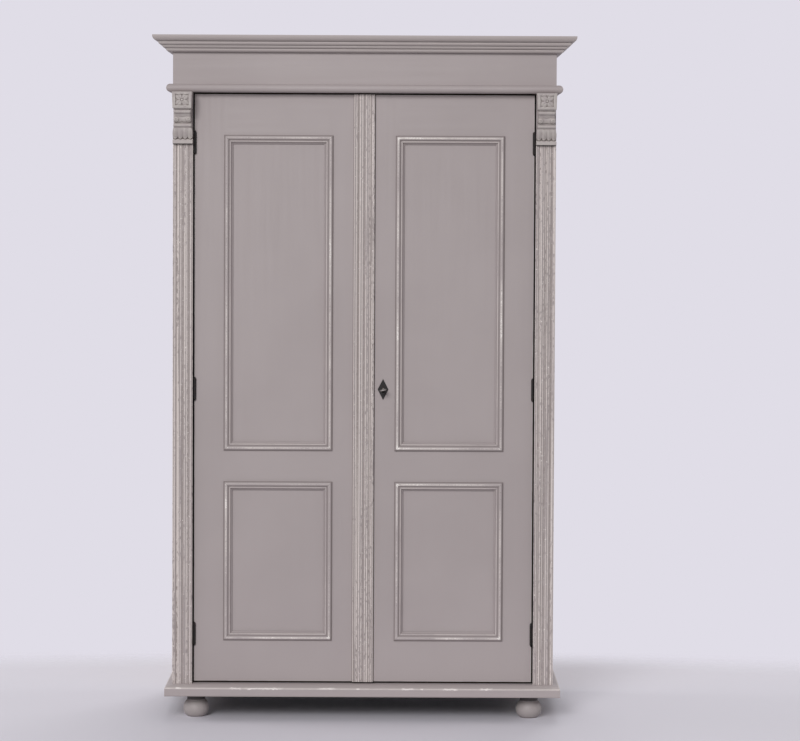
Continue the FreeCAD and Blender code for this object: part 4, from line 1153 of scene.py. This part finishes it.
# Places of the heads on their plates, inwards from the plates' edges
HINGE_HALF = 0.030
HINGE_SCREW_STEP = 0.020
HINGE_STAGGER = 0.0025
LEAF_THICKNESS = 0.0015
LEAF_SCREW_INSET = 0.0085
LOCK_INSETS = (0.0064, 0.0065)
KEEP_INSET = 0.006
GUIDE_LENGTH = 0.090
GUIDE_INSETS = (0.0021, 0.005)
GUIDE_FLANGE = 0.002
PIN_INSET = 0.0045
BACKWARDS = (0, 1, 0)
FORWARDS = (0, -1, 0)


def inset(low, high, way):
    """Two places, a way in from a low and from a high edge."""
    return [low + way, high - way]


def hinge_heads(face, sign):
    """Three staggered heads on each of one side's hinge leaves, which face left or right by their sign."""
    low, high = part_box("hinge_frame_leaves")
    lowest, highest = inset(low.z, high.z, HINGE_HALF)
    made = []
    for height in (lowest, (lowest + highest) / 2, highest):
        for step in (-1, 0, 1):
            depth = high.y - LEAF_SCREW_INSET + HINGE_STAGGER * (1 - 2 * abs(step))
            turn = HINGE_TURNS[0] * (step + 2) + HINGE_TURNS[1] * height
            made.append(((face, depth, height + step * HINGE_SCREW_STEP), (sign, 0, 0), HINGE_HEAD, turn))
    return made


def plate_heads(columns, depth, rows, facing, size, turns):
    """Heads where columns and rows cross on a plate."""
    places = [(across, depth, height) for across in columns for height in rows]
    return [(place, facing, size, turns[0] * place[0] + turns[1] * place[2]) for place in places]


def lock_heads():
    low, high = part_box("lock_case")
    columns = inset(low.x, high.x, LOCK_INSETS[0])
    rows = inset(low.z, high.z, LOCK_INSETS[1])
    return plate_heads(columns, high.y, rows, BACKWARDS, LOCK_HEAD, LOCK_TURNS)


def keep_heads():
    low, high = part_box("lock_keep")
    columns = [(low.x + high.x) / 2]
    rows = inset(low.z, high.z, KEEP_INSET)
    return plate_heads(columns, high.y, rows, BACKWARDS, KEEP_HEAD, KEEP_TURNS)


def guide_heads():
    low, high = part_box("bolt_guides")
    columns = inset(low.x, high.x, GUIDE_INSETS[0])
    outer = inset(low.z, high.z, GUIDE_INSETS[1])
    inner = inset(low.z, high.z, GUIDE_LENGTH - GUIDE_INSETS[1])
    return plate_heads(columns, low.y + GUIDE_FLANGE, outer + inner, BACKWARDS, GUIDE_HEAD, GUIDE_TURNS)


def escutcheon_pins():
    low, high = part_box("escutcheon")
    columns = [(low.x + high.x) / 2]
    rows = inset(low.z, high.z, PIN_INSET)
    return plate_heads(columns, low.y, rows, FORWARDS, PIN_HEAD, PIN_TURNS)


frame_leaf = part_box("hinge_frame_leaves")[1].x - LEAF_THICKNESS
door_leaf = DOOR_EDGE + LEAF_THICKNESS
screws("frame_screws", "carcass", hinge_heads(-frame_leaf, 1) + hinge_heads(frame_leaf, -1))
screws("left_door_screws", "left_door", hinge_heads(-door_leaf, -1) + keep_heads() + guide_heads())
screws("right_door_screws", "right_door", hinge_heads(door_leaf, 1) + lock_heads() + escutcheon_pins())


# Camera at the photograph's viewing angle
CAMERA_PLACE = (0.09, -8.5, 1.46)
CAMERA_SENSOR = 36.0
CAMERA_LENS = 130.67
CAMERA_SHIFT = -0.06
CAMERA_TURNS = ((-0.0906, "Z"), (87.767, "X"), (0.2666, "Z"))
camera_data = bpy.data.cameras.new("camera")
camera_data.sensor_width = CAMERA_SENSOR
camera_data.lens = CAMERA_LENS
camera_data.shift_y = CAMERA_SHIFT
camera = bpy.data.objects.new("camera", camera_data)
camera.matrix_world = Matrix.Translation(CAMERA_PLACE)
for angle, axis in CAMERA_TURNS:
    camera.matrix_world = camera.matrix_world @ Matrix.Rotation(math.radians(angle), 4, axis)
scene.collection.objects.link(camera)
scene.camera = camera

# Soft studio light: one wide daylight from the front left, and softboxes by place, size and power
KEY_AZIMUTH = 15.0
KEY_ELEVATION = 22.0
KEY_WIDTH = 20.0
KEY_STRENGTH = 1.12
SOFTBOX_TARGET = (0.0, 0.0, 1.0)
SOFTBOXES = {
    "front_light": ((-1.4, -5.4, 3.3), 2.2, 96.0),
    "back_light": ((0.6, 3.6, 5.2), 3.0, 110.0),
    "left_light": ((-4.2, 0.7, 2.4), 1.6, 40.0),
    "right_light": ((4.2, 0.7, 2.4), 1.6, 30.0),
}
SKY_LIGHT = 0.31


def add_daylight(name):
    data = bpy.data.lights.new(name, "SUN")
    data.angle = math.radians(KEY_WIDTH)
    data.energy = KEY_STRENGTH
    lamp = bpy.data.objects.new(name, data)
    turn = Matrix.Rotation(math.radians(-KEY_AZIMUTH), 4, "Z")
    lamp.matrix_world = turn @ Matrix.Rotation(math.radians(90.0 - KEY_ELEVATION), 4, "X")
    scene.collection.objects.link(lamp)


def add_softbox(name, place, size, power):
    data = bpy.data.lights.new(name, "AREA")
    data.shape = "SQUARE"
    data.size = size
    data.energy = power
    lamp = bpy.data.objects.new(name, data)
    lamp.location = place
    lamp.rotation_euler = (Vector(SOFTBOX_TARGET) - Vector(place)).to_track_quat("-Z", "Y").to_euler()
    scene.collection.objects.link(lamp)


def add_sky(name):
    """Even light from all round; the camera and reflections see a plain pale backdrop instead."""
    world = bpy.data.worlds.new(name)
    scene.world = world
    world.use_nodes = True
    graph = Graph(world.node_tree)
    rays = graph.node("ShaderNodeLightPath").outputs
    seen = graph.most(rays["Is Camera Ray"], rays["Is Glossy Ray"], rays["Is Transmission Ray"])
    lit = graph.node("ShaderNodeBackground", {"Color": SKY_COLOUR, "Strength": SKY_LIGHT})
    shown = graph.node("ShaderNodeBackground", {"Color": BACKDROP_COLOUR, "Strength": 1.0})
    blend = graph.node("ShaderNodeMixShader", {0: seen, 1: lit.outputs[0], 2: shown.outputs[0]})
    graph.node("ShaderNodeOutputWorld", {"Surface": blend.outputs[0]})


add_daylight("key_light")
for name, (place, size, power) in SOFTBOXES.items():
    add_softbox(name, place, size, power)
add_sky("studio")

# Pale floor that fades into the background
FLOOR_HALF = 8.0
FLOOR_FADE = (0.7, 1.1)
FLOOR_STRETCH = (0.35, 1.0, 0.0)


def floor_material(name):
    graph = Surface(name)
    graph.dress({"Base Color": FLOOR_COLOUR, "Roughness": FLOOR_ROUGHNESS})
    spread = graph.stretched(graph.place, FLOOR_STRETCH)
    reach = graph.node("ShaderNodeVectorMath", {0: spread}, operation="LENGTH").outputs["Value"]
    fade = graph.fade(reach, FLOOR_FADE)
    clear = graph.node("ShaderNodeBsdfTransparent")
    blend = graph.node("ShaderNodeMixShader", {0: fade, 1: graph.shader.outputs[0], 2: clear.outputs[0]})
    graph.feed(graph.output.inputs["Surface"], blend.outputs[0])
    return graph.material


corners = [(x * FLOOR_HALF, y * FLOOR_HALF, 0.0) for x, y in ((-1, -1), (1, -1), (1, 1), (-1, 1))]
floor_mesh = bpy.data.meshes.new("floor")
floor_mesh.from_pydata(corners, [], [(0, 1, 2, 3)])
floor_mesh.materials.append(floor_material("pale_floor"))
floor = bpy.data.objects.new("floor", floor_mesh)
scene.collection.objects.link(floor)

scene.view_settings.view_transform = "Standard"
